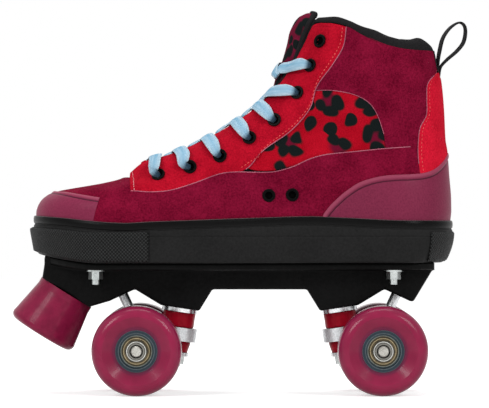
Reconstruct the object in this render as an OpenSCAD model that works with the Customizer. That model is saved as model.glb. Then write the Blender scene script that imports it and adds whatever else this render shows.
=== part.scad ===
// Quad roller skate with a padded high-top boot, for the left foot.
// Toe towards -X, heel towards +X, left (outer) side towards -Y, wheels on Z = 0.
// Heights in the boot's own lists are measured up from the underside of the sole.

/* [Wheels] */
// Diameter of a wheel
wheel_d = 58; // [54:1:64]
// Width of a wheel
wheel_w = 33; // [31:1:38]
// Rounding of the tread's edges
tread_r = 7; // [3:0.5:9]
// Diameter where the dished side of a wheel starts
dish_d = 44; // [36:1:46]
// Outer diameter of the hub core
hub_d = 27; // [25:0.5:30]
// Distance between the front and rear axles
wheelbase = 158.5; // [150:0.5:170]
// Distance between the middles of a left and a right wheel
track = 74; // [72:1:84]

/* [Bearings] */
// Outer diameter of a bearing
bearing_od = 22; // [20:0.5:23]
// Bore of a bearing
bearing_id = 8; // [7:0.5:9]
// Width of a bearing
bearing_w = 7; // [6:0.5:8]
// Diameter of a bearing ball
ball_d = 3.97; // [3:0.01:4.2]
// Balls in a bearing
ball_count = 7; // [6:1:8]

/* [Trucks] */
// Distance from the axle to the middle of the kingpin ring, along the skate
ring_reach = 24.9; // [22:0.1:28]
// Height of the kingpin ring's middle above the axle
ring_rise = 10.2; // [8:0.1:13]
// Lean of the kingpin away from upright
king_tilt = 8.8; // [4:0.1:14]
// Diameter of the kingpin
king_d = 8; // [7:0.5:9]
// Thickness of the hanger's kingpin ring
ring_h = 8.7; // [7:0.1:10]
// Outer diameter of the hanger's kingpin ring
ring_d = 26; // [24:0.5:28]
// Height of the upper cushion
upper_cushion_h = 11; // [9:0.5:13]
// Height of the lower cushion
lower_cushion_h = 8.2; // [7:0.1:10]
// Diameter of the cushions
cushion_d = 21; // [19:0.5:23]
// Diameter of the pivot pin
pivot_d = 6.5; // [5.5:0.1:7.5]
// Distance of the pivot's tip ahead of the axle
pivot_reach = 11.7; // [10:0.1:14]
// Height of the pivot's tip above the axle
pivot_rise = 39; // [37:0.1:42]
// Lean of the pivot pin away from upright
pivot_tilt = 25; // [20:0.5:30]
// Diameter of the axle housing
housing_d = 15; // [13:0.5:17]

/* [Plate] */
// Height of the plate from the kingpin seat to its top
plate_h = 29.5; // [26:0.5:34]
// Thickness of the plate's rim
rim_t = 4.6; // [3.5:0.1:6]
// Width of the plate's body below the rim
body_w = 33; // [30:1:35]
// Depth of the bridge between the trucks, with the rim
bridge_h = 17.4; // [14:0.1:20]
// Wall of the plate's hollow underside
wall = 3.2; // [2.5:0.1:4]
// Diameter of the mounting bolts
bolt_d = 5; // [4:0.5:6]
// Distance between the left and right mounting bolts
bolt_span = 48.8; // [47:0.2:54]

/* [Toe stop] */
// Diameter of the toe stop at the plate
stop_top_d = 37; // [32:1:40]
// Diameter of the toe stop's working face
stop_face_d = 46; // [40:1:48]
// Height of the toe stop
stop_h = 32; // [26:1:34]
// Lean of the toe stop's axis away from upright
stop_tilt = 32; // [28:1:36]
// Diameter of the toe stop's bolt
stop_bolt_d = 8; // [6:0.5:10]

/* [Sole] */
// Height of the sole's rim above its underside
sole_h = 27.6; // [25:0.2:30]
// Height of the floor inside the cup of the sole
floor_h = 10; // [8:0.5:12]
// Rise of the sole's underside at the toe
toe_spring = 6.4; // [5:0.2:12]
// Thickness of the toe bumper
toe_bumper_t = 2.2; // [1.5:0.1:3]
// Thickness of the heel bumper
heel_bumper_t = 1; // [0.8:0.1:2]

/* [Boot] */
// Thickness of the outer panels
panel_t = 1.3; // [1:0.1:1.6]
// Thickness of the raised panels: eyestays, toe cap, heel pieces
raised_t = 1.8; // [1.4:0.1:2.2]
// Thickness of the liner
liner_t = 3; // [2:0.2:4]
// Thickness of the padding round the ankle
pad_t = 5.4; // [3:0.2:7]
// Width of the lacing gap
throat_w = 26; // [22:1:30]
// Thickness of the tongue
tongue_t = 4.5; // [3:0.5:6]
// Thickness of the insole
insole_t = 5; // [3:0.5:7]
// Thickness of the lasting board
board_t = 2; // [1.5:0.1:3]
// Width of the pull loop's webbing
loop_w = 11; // [8:1:16]
// Thickness of the pull loop's webbing
loop_t = 1.8; // [1.2:0.1:2.5]

/* [Lacing] */
// Outer diameter of an eyelet
eyelet_d = 9; // [8:0.5:10]
// Diameter of the hole in an eyelet
eyelet_hole = 5.5; // [4.5:0.1:6]
// Outer diameter of a vent eyelet
vent_d = 8.5; // [7:0.5:10]
// Diameter of the hole in a vent eyelet
vent_hole = 4.8; // [4:0.1:5.5]
// Height of the eyelets' rims
eyelet_t = 0.9; // [0.6:0.1:1.4]
// Width of the flat lace
lace_w = 9; // [6:0.5:10]
// Thickness of the flat lace
lace_t = 1.3; // [1:0.1:1.8]

/* [Hidden] */
$fn = 48;
fit = 0.04;
gap = 0.3;
lay = 0.6;
seam = 0.5;

// Truck geometry, seen from the side as [x, z] from the axle, with x towards the middle of the skate
wheel_mid_x = 12.95;
axle_z = wheel_d / 2;
front_x = wheel_mid_x - wheelbase / 2;
rear_x = wheel_mid_x + wheelbase / 2;
retainer_t = 1.6;
king_up = [sin(king_tilt), cos(king_tilt)];
king_out = [cos(king_tilt), -sin(king_tilt)];
ring_c = [ring_reach, ring_rise];
seat_gap = ring_h / 2 + upper_cushion_h + retainer_t;
seat_c = ring_c + seat_gap * king_up;
pivot_c = [-pivot_reach, pivot_rise];
pivot_down = [sin(pivot_tilt), -cos(pivot_tilt)];
pivot_out = [cos(pivot_tilt), sin(pivot_tilt)];
pivot_depth = 4;
cup_t = 3.2;
cup_d = pivot_d + 2 * cup_t;

// Levels of the stack
plate_z = axle_z + seat_c[1] + plate_h;
board_z = floor_h + board_t;

// Places along the wheel's own axle, measured outwards from the middle of the wheel
inner_bearing = -wheel_w / 2 + 2;
outer_bearing = wheel_w / 2 - 2 * bearing_w;
outer_race_r = bearing_od / 2 - 1.7;
inner_race_r = bearing_id / 2 + 1.8;
ball_ring_r = (outer_race_r + inner_race_r) / 2;
nut_h = 6.3;

// Smooth value of a list of [key, value] points, with no overshoot between them
function span(t, x, i = 0) = i >= len(t) - 2 || x <= t[i + 1][0] ? i : span(t, x, i + 1);
function slope(t, i) = (t[i + 1][1] - t[i][1]) / (t[i + 1][0] - t[i][0]);
function knot(t, i) =
    i == 0 ? slope(t, 0) :
    i == len(t) - 1 ? slope(t, i - 1) :
    let (a = slope(t, i - 1), b = slope(t, i)) a * b <= 0 ? 0 : 2 * a * b / (a + b);
function curve(t, x) =
    let (i = span(t, x), h = t[i + 1][0] - t[i][0], s = (x - t[i][0]) / h, r = 1 - s)
    (1 + 2 * s) * r * r * t[i][1] + s * r * r * h * knot(t, i)
    + s * s * (3 - 2 * s) * t[i + 1][1] - s * s * r * h * knot(t, i + 1);

// Smooth line through a list of points, with t from 0 at the first to 1 at the last
function line_at(p, t) =
    let (n = len(p) - 1, i = min(floor(t * n), n - 1), s = t * n - i,
        a = p[max(i - 1, 0)], b = p[i], c = p[i + 1], d = p[min(i + 2, n)])
    b + s * ((c - a) / 2 + s * ((a - 2.5 * b + 2 * c - 0.5 * d) + s * (1.5 * (b - c) + (d - a) / 2)));

function mix(a, b, t) = a + (b - a) * t;
function ease(t) = let (s = max(0, min(1, t))) s * s * (3 - 2 * s);

// The boot's form: front and back outlines and half widths at each height
toe_x = -132.4;
heel_x = 136.4;
front_line = [[6, 4.4], [12, 3], [20, 1.2], [27, 0.2], [32, 0], [36, 0.9], [40, 3.2], [43, 6.6],
    [45, 10.2], [46.4, 14.5], [48, 23], [49.5, 32], [51.6, 43.5], [54.2, 53.5], [57, 58.2], [60, 60.6],
    [62.6, 63.2], [64.6, 66.6], [66, 70.4], [67.4, 75.4], [69.4, 83], [72.4, 90.9], [77.6, 103],
    [84.1, 115.4], [92, 128.4], [101.7, 141.6], [110.2, 150.1], [120, 158.3], [131.7, 165.8],
    [143, 171.9], [152.4, 176.2], [159, 180], [166, 186]];
back_line = [[6, 4], [12, 2.6], [20, 0.9], [27, 0], [34, -0.7], [41, -0.6], [57, 0.6], [72, 1.6],
    [80, 2.9], [100, 3.9], [121, 6], [126, 7.8], [135, 9.8], [145, 11.6], [166, 12.6]];
ball_line = [[6, 40], [12, 42], [20, 44.6], [27, 46], [34, 46], [42, 43.5], [49, 40.5], [56, 37.5],
    [65, 34.5], [75, 32.8], [90, 31.6], [105, 32], [125, 33.6], [145, 35.4], [166, 37]];
ankle_line = [[6, 29], [12, 30.6], [20, 32.6], [27, 33.6], [36, 34.2], [46, 34], [60, 32.4], [75, 31],
    [90, 30.8], [105, 31.8], [125, 33.6], [145, 35.4], [166, 37]];
toe_round = [[6, 50], [30, 52], [46, 44], [64, 36], [100, 36], [125, 40], [166, 44]];
heel_round = [[6, 32], [30, 34], [75, 37], [105, 42], [166, 45]];
toe_swing = 4;

function front_x_at(z) = toe_x + curve(front_line, z);
function back_x_at(z) = heel_x - curve(back_line, z);
function nose(t) = t >= 1 ? 1 : t <= 0 ? 0 : sqrt(1 - (1 - t) * (1 - t));
function full_w(x, z) = mix(curve(ball_line, z), curve(ankle_line, z), ease((x + 55) / 110));
function half_w(x, z) =
    full_w(x, z) * nose((x - front_x_at(z)) / curve(toe_round, z))
    * nose((back_x_at(z) - x) / curve(heel_round, z));
function swing_at(x) = toe_swing * ease((-x - 15) / 110);

// A place on the boot: u runs from 0 at the toe, over the right side, to 1 at the heel and 2 at the toe again
function form(u, z) =
    let (f = front_x_at(z), x = f + (back_x_at(z) - f) * (1 - cos(180 * u)) / 2)
    [x, swing_at(x) + sign(sin(180 * u)) * half_w(x, z), z];
function out_of(u, z) =
    let (n = cross(form(u, z + 0.4) - form(u, z - 0.4), form(u + 0.003, z) - form(u - 0.003,
    z))) n / norm(n);
function on_boot(u, z, off) = form(u, z) + off * out_of(u, z);
function u_of(p) =
    let (f = front_x_at(p[1]), b = back_x_at(p[1]))
    acos(max(-1, min(1, 1 - 2 * (p[0] - f) / (b - f)))) / 180;
function throat_x(z) =
    let (f = front_x_at(z), s = throat_w / 2 / full_w(f, z)) f + curve(toe_round,
    z) * (1 - sqrt(1 - s * s));
function throat_u(z) = u_of([throat_x(z), z]);

// A patch on the boot inside four side-view lines, as a grid of [u, z]
function spot(p) = [u_of(p), p[1]];
function patch(bottom, top, front, rear, n, m) =
    [for (i = [0:n]) [for (j = [0:m])
        let (v = i / n, s = j / m,
            b = spot(line_at(bottom, s)), t = spot(line_at(top, s)),
            f = spot(line_at(front, v)), r = spot(line_at(rear, v)),
            c00 = spot(bottom[0]), c01 = spot(bottom[len(bottom) - 1]),
            c10 = spot(top[0]), c11 = spot(top[len(top) - 1]))
        mix(b, t, v) + mix(f, r, s) - mix(mix(c00, c01, s), mix(c10, c11, s), v)]];
function between(low, high, n, m) =
    [for (i = [0:n]) [for (j = [0:m]) mix(spot(line_at(low, j / m)), spot(line_at(high, j / m)), i / n)]];
function flip_row(row, turn) = [for (j = [len(row) - 1:-1:1]) [turn - row[j][0], row[j][1]]];
function round_toe(grid) = [for (row = grid) concat(flip_row(row, 0), row)];
function round_heel(grid) =
    [for (row = grid) concat(row, [for (j = [len(row) - 2:-1:0]) [2 - row[j][0], row[j][1]]])];
function other_side(grid) = [for (row = grid) [for (j = [len(row) - 1:-1:0]) [2 - row[j][0], row[j][1]]]];

// A closed skin over a grid, between an inner and an outer surface given as grids of points
module skin(inner, outer) {
    n = len(outer);
    m = len(outer[0]);
    points = concat([for (row = outer) each row], [for (row = inner) each row]);
    function o(i, j) = i * m + j;
    function q(i, j) = n * m + i * m + j;
    faces = concat(
        [for (i = [0:n - 2]) for (j = [0:m - 2]) each
            [[o(i, j), o(i, j + 1), o(i + 1, j + 1)], [o(i, j), o(i + 1, j + 1), o(i + 1, j)],
             [q(i, j), q(i + 1, j), q(i + 1, j + 1)], [q(i, j), q(i + 1, j + 1), q(i, j + 1)]]],
        [for (j = [0:m - 2]) each
            [[o(0, j + 1), o(0, j), q(0, j)], [o(0, j + 1), q(0, j), q(0, j + 1)],
             [o(n - 1, j), o(n - 1, j + 1), q(n - 1, j + 1)], [o(n - 1, j), q(n - 1, j + 1), q(n - 1, j)]]],
        [for (i = [0:n - 2]) each
            [[o(i, 0), o(i + 1, 0), q(i + 1, 0)], [o(i, 0), q(i + 1, 0), q(i, 0)],
             [o(i + 1, m - 1), o(i, m - 1), q(i, m - 1)], [o(i + 1, m - 1), q(i, m - 1), q(i + 1,
             m - 1)]]]);
    polyhedron(points, faces);
}
module panel(grid, low, high) {
    spots = [for (row = grid) [for (p = row) form(p[0], p[1])]];
    outs = [for (row = grid) [for (p = row) out_of(p[0], p[1])]];
    translate([0, 0, plate_z]) skin(spots + low * outs, spots + high * outs);
}
module on_both_sides(grid, low, high) {
    panel(grid, low, high);
    panel(other_side(grid), low, high);
}

// Offsets of the boot's layers from its form
panel_in = -panel_t + 0.2;
panel_out = panel_in + panel_t;
raised_out = panel_in + raised_t;
liner_out = panel_in - lay;
liner_in = liner_out - liner_t;

// Side-view lines shared by the boot's panels, as [x, height]
tuck = sole_h - 7;
toe_seam = [[-119.2, 46.2], [-112, 45.6], [-102, 44], [-89.5, 42]];
toe_rear = [[-94, tuck], [-93, 30], [-89.5, 42]];
band_top = [[-89.5, 42], [-80, 45.2], [-70, 46.3], [-57, 45.6], [-44, 46.8], [-29, 51.4], [-14, 57],
    [-3, 58.6], [10, 58.4], [22, 58.8], [34, 62], [45, 67], [56, 70], [75, 72], [95, 74], [114.5, 75.4]];
shaft_top = 155.5;
stay_heights = [58, 65, 67.5, 69.8, 74.6, 83, 92.6, 101, 111, 122, 131, 140, 148, shaft_top];
stay_rear = [[-70, 46.3 + seam], [-57, 46.2], [-50.5, 46.8], [-44, 47.4], [-29, 52.1], [-12, 58],
    [4, 60.5], [15.5, 73], [33, 85.5], [45, 99.5], [50, 114], [60, 128], [67, 140], [69, 152.5]];
arch_line = [[50, 111.4], [58, 111.6], [66, 110.6], [74.7, 108.5], [83.3, 103.7], [88.6, 96.3],
    [92.8, 84.6], [95, 74.6]];
strip_front = [[116.6, 59], [115.2, 68], [115.2, 78], [116.5, 87.5], [120.6, 96], [120.8, 106],
    [121.4, 116], [127.2, 123]];
counter_top = [[52, tuck], [53.4, 30], [57, 35.6], [62, 40.8], [68.3, 46.2], [76.8, 51.6], [87.5, 55.2],
    [100, 56.8], [111, 57.2], [119, 58.2], [125, 60.4], [129.4, 63.8], [132.4, 67.2], [134.2, 70],
    [136.6, 71.6]];
collar_front = 51.5;
collar_line = [[collar_front, shaft_top], [60, 155], [69, 152.5], [79, 146.8], [90.4, 141.6], [98, 139.1],
    [106, 137.5], [114, 136.8], [119, 136.7], [123, 136.6], [127, 136.5]];
function shift(line, dx, dz) = [for (p = line) p + [dx, dz]];

module toe_cap() {
    bottom = [[-132, tuck], [-128, tuck], [-114, tuck], [-94 - seam, tuck]];
    front = [[-140, tuck], [-140, 34], [-140, 45.6]];
    rows = patch(bottom, shift(toe_seam, -1.2, -seam), front, shift(toe_rear, -seam, 0), 6, 9);
    color("#5e1424") panel(round_toe(rows), panel_in, raised_out);
}

module vamp() {
    front = shift(toe_seam, 0, 0.2);
    rear = [[-76, 55], [-73, 54.6], [-71.6, 53], [-71, 50.2], [-71, 47.2]];
    color("#6d1d2c") panel(round_toe(between(front, rear, 8, 8)), panel_in, panel_out);
}

module side_bands() {
    rise = shift([for (i = [0:8]) counter_top[i]], -2 * seam, 2 * seam);
    bottom = concat([for (x = [-93.5:11:50]) [x, tuck]], rise);
    rear = [[110, 58.2], [113, 66], [114.5, 75.4]];
    rows = patch(bottom, band_top, shift(toe_rear, seam, 0), rear, 6, 24);
    color("#6d1d2c") on_both_sides(rows, panel_in, panel_out);
}

module side_panels() {
    top = [for (i = [0:7]) arch_line[i] + [i == 7 ? 0 : -seam, -seam]];
    front = shift([for (i = [6:10]) stay_rear[i]], seam, -1.3);
    bottom = concat([[4.5, 59.2]], shift([for (i = [8:14]) band_top[i]], 0, seam));
    rear = [[95, 74.5], [95, 74.3], [95, 74.1]];
    rows = patch(bottom, top, front, rear, 6, 12);
    color("#8c5a5c") on_both_sides(rows, panel_in, panel_out - 0.3);
}

module ankle_panels() {
    bottom = concat(shift(arch_line, 0.4, 0.2), [[104, 75.5], [114.6, 76]]);
    top = shift([for (i = [2:10]) collar_line[i]], 0.6, -0.3);
    front = shift([for (i = [10:13]) stay_rear[i]], 0.6, -1.2);
    rear = concat(shift([for (i = [2:7]) strip_front[i]], -3 * seam, -1), [[130, 128], [130, 136.2]]);
    rows = patch(bottom, top, front, rear, 9, 14);
    held = [for (row = rows) [for (p = row) [min(p[0], 0.994), p[1]]]];
    color("#6d1d2c") on_both_sides(held, panel_in, panel_out);
}

module eyestays() {
    front = [for (z = stay_heights) [throat_x(z), z]];
    rows = between(front, stay_rear, 1, 28);
    turned = [for (j = [0:28]) [for (i = [0:5]) mix(rows[0][j], rows[1][j], i / 5)]];
    color("#b3122c") on_both_sides(turned, panel_in, raised_out);
}

module heel_strip() {
    bottom = shift([[116.6, 58], [123.6, 60.4], [129.4, 64.6], [133, 68.8], [137.4, 72]], 0, seam);
    top = [[127.2, 122.8], [128.4, 123.2], [129.4, 123.4], [130, 123.4], [132, 123.4]];
    rows = patch(bottom, top, strip_front, [[140, 72.5], [140, 98], [140, 123.4]], 10, 5);
    color("#b3122c") panel(round_heel(rows), panel_in, raised_out);
}

module heel_counter() {
    low = [for (a = [0:9:90]) [mix(52, heel_x, sin(a)), tuck]];
    color("#5a1526") panel(round_heel(between(low, counter_top, 5, 16)), panel_in, raised_out);
}

// Height of the liner's upper edge over its length, and the padding round the ankle
function edge_z(x) = curve(collar_line, x);
function padding(x, z) =
    pad_t * ease((x - 74) / 18) * ease((z - edge_z(max(x, collar_front)) + 42) / 18);
liner_rows = [0, 0.07, 0.14, 0.19, 0.22, 0.24, 0.255, 0.268, 0.28, 0.291, 0.302, 0.318, 0.335, 0.37, 0.41,
    0.46, 0.52, 0.58, 0.65, 0.72, 0.79, 0.86, 0.93, 1];
liner_cols = 17;
function liner_grid() = [for (v = liner_rows)
    let (zf = mix(board_z + fit, shaft_top - seam, v), zr = mix(board_z + fit, 136, v),
        uf = zf < 57 ? 0.002 : throat_u(zf))
    [for (j = [0:liner_cols]) let (s = j / liner_cols, u = mix(uf, 0.998, s), flat = mix(zf, zr, s),
        x = form(u, flat)[0])
        [u, v < 0.7 ? flat : mix(flat, edge_z(max(x, collar_front)) - 0.4, ease((v - 0.7) / 0.3))]]];
module liner(grid) {
    spots = [for (row = grid) [for (p = row) form(p[0], p[1])]];
    outs = [for (row = grid) [for (p = row) out_of(p[0], p[1])]];
    inner = [for (i = [0:len(grid) - 1]) [for (j = [0:liner_cols])
        spots[i][j] + (liner_in - padding(spots[i][j][0], spots[i][j][2])) * outs[i][j]]];
    translate([0, 0, plate_z]) skin(inner, spots + liner_out * outs);
}
module liner_right() { color("#1c1c1f") liner(liner_grid()); }
module liner_left() { color("#1c1c1f") liner(other_side(liner_grid())); }

// The padded roll that caps the liner and the panels round the ankle
collar_rise = [[collar_front, 4.8], [58, 5], [64, 4.6], [72, 4.3], [78, 5.2], [84, 6.6], [89, 7.5],
    [98, 7.2], [104, 7.2], [109, 7.8], [114, 8.9], [117, 9.6], [122, 8], [127, 6]];
collar_lift = 0.35;
function collar_x(u, z) = max(collar_front, form(u, z)[0]);
module collar() {
    steps = 40;
    u0 = throat_u(shaft_top) + 0.005;
    rings = [for (k = [0:steps])
        let (u = mix(u0, 2 - u0, k / steps), x = collar_x(u, edge_z(collar_x(u, shaft_top))), z = edge_z(x),
            h = curve(collar_rise, x), wide = raised_out - liner_in + padding(x, z))
        [for (a = [0:30:180])
            let (rise = mix(collar_lift, h, pow(sin(a), 0.7)), in = (1 - cos(a)) / 2)
            on_boot(u, z + rise, raised_out - wide * in)]];
    n = len(rings[0]);
    faces = concat(
        [for (k = [0:steps - 1]) for (i = [0:n - 1]) let (a = k * n + i, b = k * n + (i + 1) % n)
            each [[a, a + n, b + n], [a, b + n, b]]],
        [for (i = [1:n - 2]) [0, i, i + 1]],
        [for (i = [1:n - 2]) [steps * n, steps * n + i + 1, steps * n + i]]);
    color("#19191c") translate([0, 0, plate_z]) polyhedron([for (r = rings) each r], faces);
}

// Tongue under the eyestays, pushed forward above the lacing
tongue_front = [[54, -7], [98, -6.6], [106, -5.5], [112, -2], [119, 2.2], [126, 4], [132, 5.6],
    [138, 7.2], [147.6, 9.4], [153, 9.2], [156, 8.4], [158.1, 7], [159.8, 6], [161, 4.6]];
tongue_half_w = [[54, 18], [75, 23], [96, 22], [106, 15], [112, 12], [150, 12], [156, 11.4], [159, 9.6],
    [161, 7.6]];
tongue_free_z = 108;
tongue_free_l = 10;
tongue_bow = 0.35;
module tongue() {
    heights = [54, 57, 60, 63.5, 67, 73, 80, 88, 96, 102, 107, 112, 117, 122, 128, 134, 141, 147, 152,
        156, 159, 161];
    m = 12;
    grid = [for (z = heights) let (s = min(0.96, curve(tongue_half_w, z) / full_w(front_x_at(z), z)),
        edge = u_of([front_x_at(z) + curve(toe_round, z) * (1 - sqrt(1 - s * s)), z]))
        [for (j = [0:m]) [edge * (2 * j / m - 1), z]]];
    spots = [for (row = grid) [for (p = row) form(p[0], p[1])]];
    outs = [for (row = grid) [for (p = row) out_of(p[0], p[1])]];
    deep = liner_in - 5 * gap;
    lift = [for (i = [0:len(grid) - 1])
        let (z = heights[i], rise = max(0, curve(tongue_front, z) - deep), e = throat_u(z) * 0.96,
            free = ease((z - tongue_free_z) / tongue_free_l))
        [for (p = grid[i]) let (s = p[0] / e)
            deep + rise * mix(max(0, 1 - s * s), 1 - tongue_bow * s * s, free)]];
    function at_depth(d) =
        [for (i = [0:len(grid) - 1]) [for (j = [0:m]) spots[i][j] + (lift[i][j] - d) * outs[i][j]]];
    color("#5c2a34") translate([0, 0, plate_z]) skin(at_depth(tongue_t), at_depth(0));
}

// Teardrop of webbing, sewn to the top of the heel strip
loop_path = [[130.4, 124], [130.3, 129], [131.3, 139], [134, 148.5], [138.8, 154.4], [144, 156.4],
    [147.4, 151], [146, 143.6], [142, 137.4], [136.6, 132], [133.2, 128], [132.5, 124]];
module pull_loop() {
    n = 40;
    line = [for (i = [0:n]) line_at(loop_path, i / n)];
    side = [for (i = [0:n]) let (d = line[min(i + 1, n)] - line[max(i - 1, 0)]) [-d[1], d[0]] / norm(d)];
    band = concat([for (i = [0:n]) line[i] + loop_t / 2 * side[i]],
        [for (i = [n:-1:0]) line[i] - loop_t / 2 * side[i]]);
    color("#202024") translate([0, loop_w / 2, plate_z]) rotate([90, 0, 0]) linear_extrude(loop_w)
        polygon(band);
}

// Eyelets and laces
eyelet_spots = [[-52, 56.3], [-32.2, 61.8], [-12.9, 69.2], [6.4, 80.6], [22.6, 92.2], [37.5, 109.8],
    [46.1, 127.5], [52.7, 143.3]];
vent_spots = [[18.7, 43.6], [33.9, 44]];
eyelet_seat = 0.7;
edge_heights = [67.4, 72.1, 80.2, 90.9, 101.5, 109.5, 126];
module rivet_at(u, z, off) {
    n = out_of(u, z);
    translate(on_boot(u, z, off) + [0, 0, plate_z]) rotate([0, acos(n[2]), atan2(n[1], n[0])]) children();
}
module ring_rivet(d, hole) {
    rotate_extrude() difference() {
        union() {
            translate([hole / 2, 0]) square([(d - hole) / 2 - eyelet_t / 2, eyelet_t]);
            translate([d / 2 - eyelet_t, 0]) square([eyelet_t, eyelet_t / 2]);
            translate([d / 2 - eyelet_t / 2, eyelet_t / 2]) circle(d = eyelet_t);
        }
        translate([hole / 2, eyelet_t]) circle(d = eyelet_t);
    }
}
module eyelets() {
    color("#2b2b2e") for (p = eyelet_spots) for (u = [u_of(p), 2 - u_of(p)])
        rivet_at(u, p[1], raised_out + eyelet_seat) ring_rivet(eyelet_d, eyelet_hole);
}
module vent_eyelets() {
    color("#2b2b2e") for (p = vent_spots) for (u = [u_of(p), 2 - u_of(p)])
        rivet_at(u, p[1], panel_out + gap) ring_rivet(vent_d, vent_hole);
}
// One crossing of the flat lace, from an eyelet over the near edge of the lacing gap to the far edge
lace_over = [0.9, 0.4, 0, -0.3];
lace_under = [-1.7, -2.1, -2.1, -2.1];
lace_top_over = [7.4, 8, 7.2, 5.8];
lace_top_under = [5.9, 6.3, 5.3, 3.9];
lace_end_w = 4.6;
module rung(k, side, far_z, levels) {
    p = eyelet_spots[k];
    e = edge_heights[k];
    ue = side * u_of(p);
    ut = side * throat_u(e);
    uf = -side * throat_u(far_z) * 0.84;
    over = raised_out + eyelet_seat + eyelet_t + 5 * gap + lace_t / 2;
    steps = [0.26, 0.5, 0.8, 1];
    half = mix(p, [throat_x(e), e], 0.5);
    route = concat(
        [[ue, p[1], over], [side * u_of(half), half[1], over], [ut, e, raised_out + 3 * gap + lace_t / 2]],
        [for (i = [0:3]) [mix(ut, uf, steps[i]), mix(e, far_z, steps[i]), levels[i]]]);
    path = [for (q = route) on_boot(q[0], q[1], q[2])];
    ups = [for (q = route) out_of(q[0], q[1])];
    n = 18;
    line = [for (i = [0:n]) line_at(path, i / n)];
    rings = [for (i = [0:n]) let (d = line[min(i + 1, n)] - line[max(i - 1, 0)], a = line_at(ups, i / n),
        across = cross(d, a) / norm(cross(d, a)), out = cross(across, d) / norm(d),
        w = min(mix(eyelet_hole - 1, lace_w, ease(i / 3)), mix(lace_w, lace_end_w, ease((i - 10) / 8))) / 2)
        [for (c = [[-1, -1], [1, -1], [1, 1], [-1, 1]])
            line[i] + c[0] * w * across + c[1] * lace_t / 2 * out]];
    faces = concat(
        [for (i = [0:n - 1]) for (c = [0:3]) let (a = 4 * i + c, b = 4 * i + (c + 1) % 4)
            each [[a, b + 4, a + 4], [a, b, b + 4]]],
        [[0, 2, 1], [0, 3, 2], [4 * n, 4 * n + 1, 4 * n + 2], [4 * n, 4 * n + 2, 4 * n + 3]]);
    translate([0, 0, plate_z]) polyhedron([for (r = rings) each r], faces);
}
module laces() {
    color("#86b4d6") {
        rung(0, -1, edge_heights[0], lace_over);
        for (k = [1:5]) for (side = [-1, 1])
            rung(k, side, mix(edge_heights[k - 1], edge_heights[k], 0.4),
            side > 0 ? lace_over : lace_under);
        for (side = [-1, 1])
            rung(6, side, mix(edge_heights[5], edge_heights[6], 0.6),
            side > 0 ? lace_top_over : lace_top_under);
    }
}

// Footbed and sole, around the boot's outline at a given height
sole_round = 72;
toe_slant = 2.6;
heel_slant = 6;
function end_lean(x, depth) =
    toe_slant * depth * ease((-x - 95) / 35) + heel_slant * depth * depth * ease((x - 108) / 22);
function around(z, off, depth = 0) = [for (k = [0:sole_round - 1])
    let (u = 2 * k / sole_round, n = out_of(u, z), f = form(u, z))
    [f[0], f[1]] + (off - end_lean(f[0], depth)) * [n[0], n[1]] / norm([n[0], n[1]])];
module lasting_board() {
    color("#8a7a62") translate([0, 0, plate_z + floor_h]) linear_extrude(board_t)
        polygon(around(board_z, -gap));
}
module insole() {
    color("#232326") translate([0, 0, plate_z + board_z]) linear_extrude(insole_t)
        polygon(around(board_z, liner_in - gap));
}

spring_x = -94;
spring_l = 42;
sole_wave = [[-140, 3.4], [-116, 1.8], [-90, -0.8], [-74, -1.6], [-58, -0.8], [-25, 0.4], [8, 1.6],
    [45, 2.6], [71, 1.6], [103, 0.1], [140, -0.2]];
sole_side = 2.6;
function spring_at(x) = toe_spring * pow(max(0, spring_x - x) / spring_l, 1.4);
function sole_ring(z, off, level) =
    [for (p = around(z, off, max(0, 1 - level / tuck)))
        [p[0], p[1], level < tuck ? mix(spring_at(p[0]), tuck, level / tuck) : level + curve(sole_wave,
        p[0])]];
module sole() {
    rim = sole_h;
    cup = raised_out + 2 * gap;
    under = 3;
    rings = concat(
        [sole_ring(rim, 0.6, 0)],
        [for (s = [[2.4, sole_side - 0.2], [rim - 8, sole_side]]) sole_ring(rim, s[1], s[0])],
        [for (s = [[rim - 6.2, 2.5], [rim - 5.4, 1.9], [rim - 4.6, 2.6], [rim - 0.9, 2.5], [rim, 1.9]])
            sole_ring(rim, s[1], s[0])],
        [sole_ring(rim, cup, rim)],
        [[for (p = around(tuck, cup)) [p[0], p[1], tuck - 1]]],
        [[for (p = around(board_z, cup)) [p[0], p[1], floor_h]]]);
    m = sole_round;
    n = len(rings);
    h = m / 2;
    faces = concat(
        [for (i = [0:n - 2]) for (k = [0:m - 1]) let (a = i * m + k, b = i * m + (k + 1) % m)
            each [[a, b, b + m], [a, b + m, a + m]]],
        [for (k = [0:h - 1]) let (a = k, b = k + 1, c = m - 1 - k, d = (m - k) % m)
            each [[d, c, b], [d, b, a]]],
        [for (k = [0:h - 1])
            let (t = (n - 1) * m, a = t + k, b = t + k + 1, c = t + m - 1 - k, d = t + (m - k) % m)
            each [[a, b, c], [a, c, d]]]);
    color("#1d1d20") difference() {
        translate([0, 0, plate_z]) polyhedron([for (r = rings) each r], faces);
        at_bolts() {
            translate([0, 0, -under]) cylinder(d = bolt_d + 2 * gap, h = floor_h + 2 * under);
            translate([0, 0, floor_h - bolt_head_h - gap])
                cylinder(d = bolt_head_d + 2 * gap, h = bolt_head_h + under);
        }
    }
}
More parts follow.
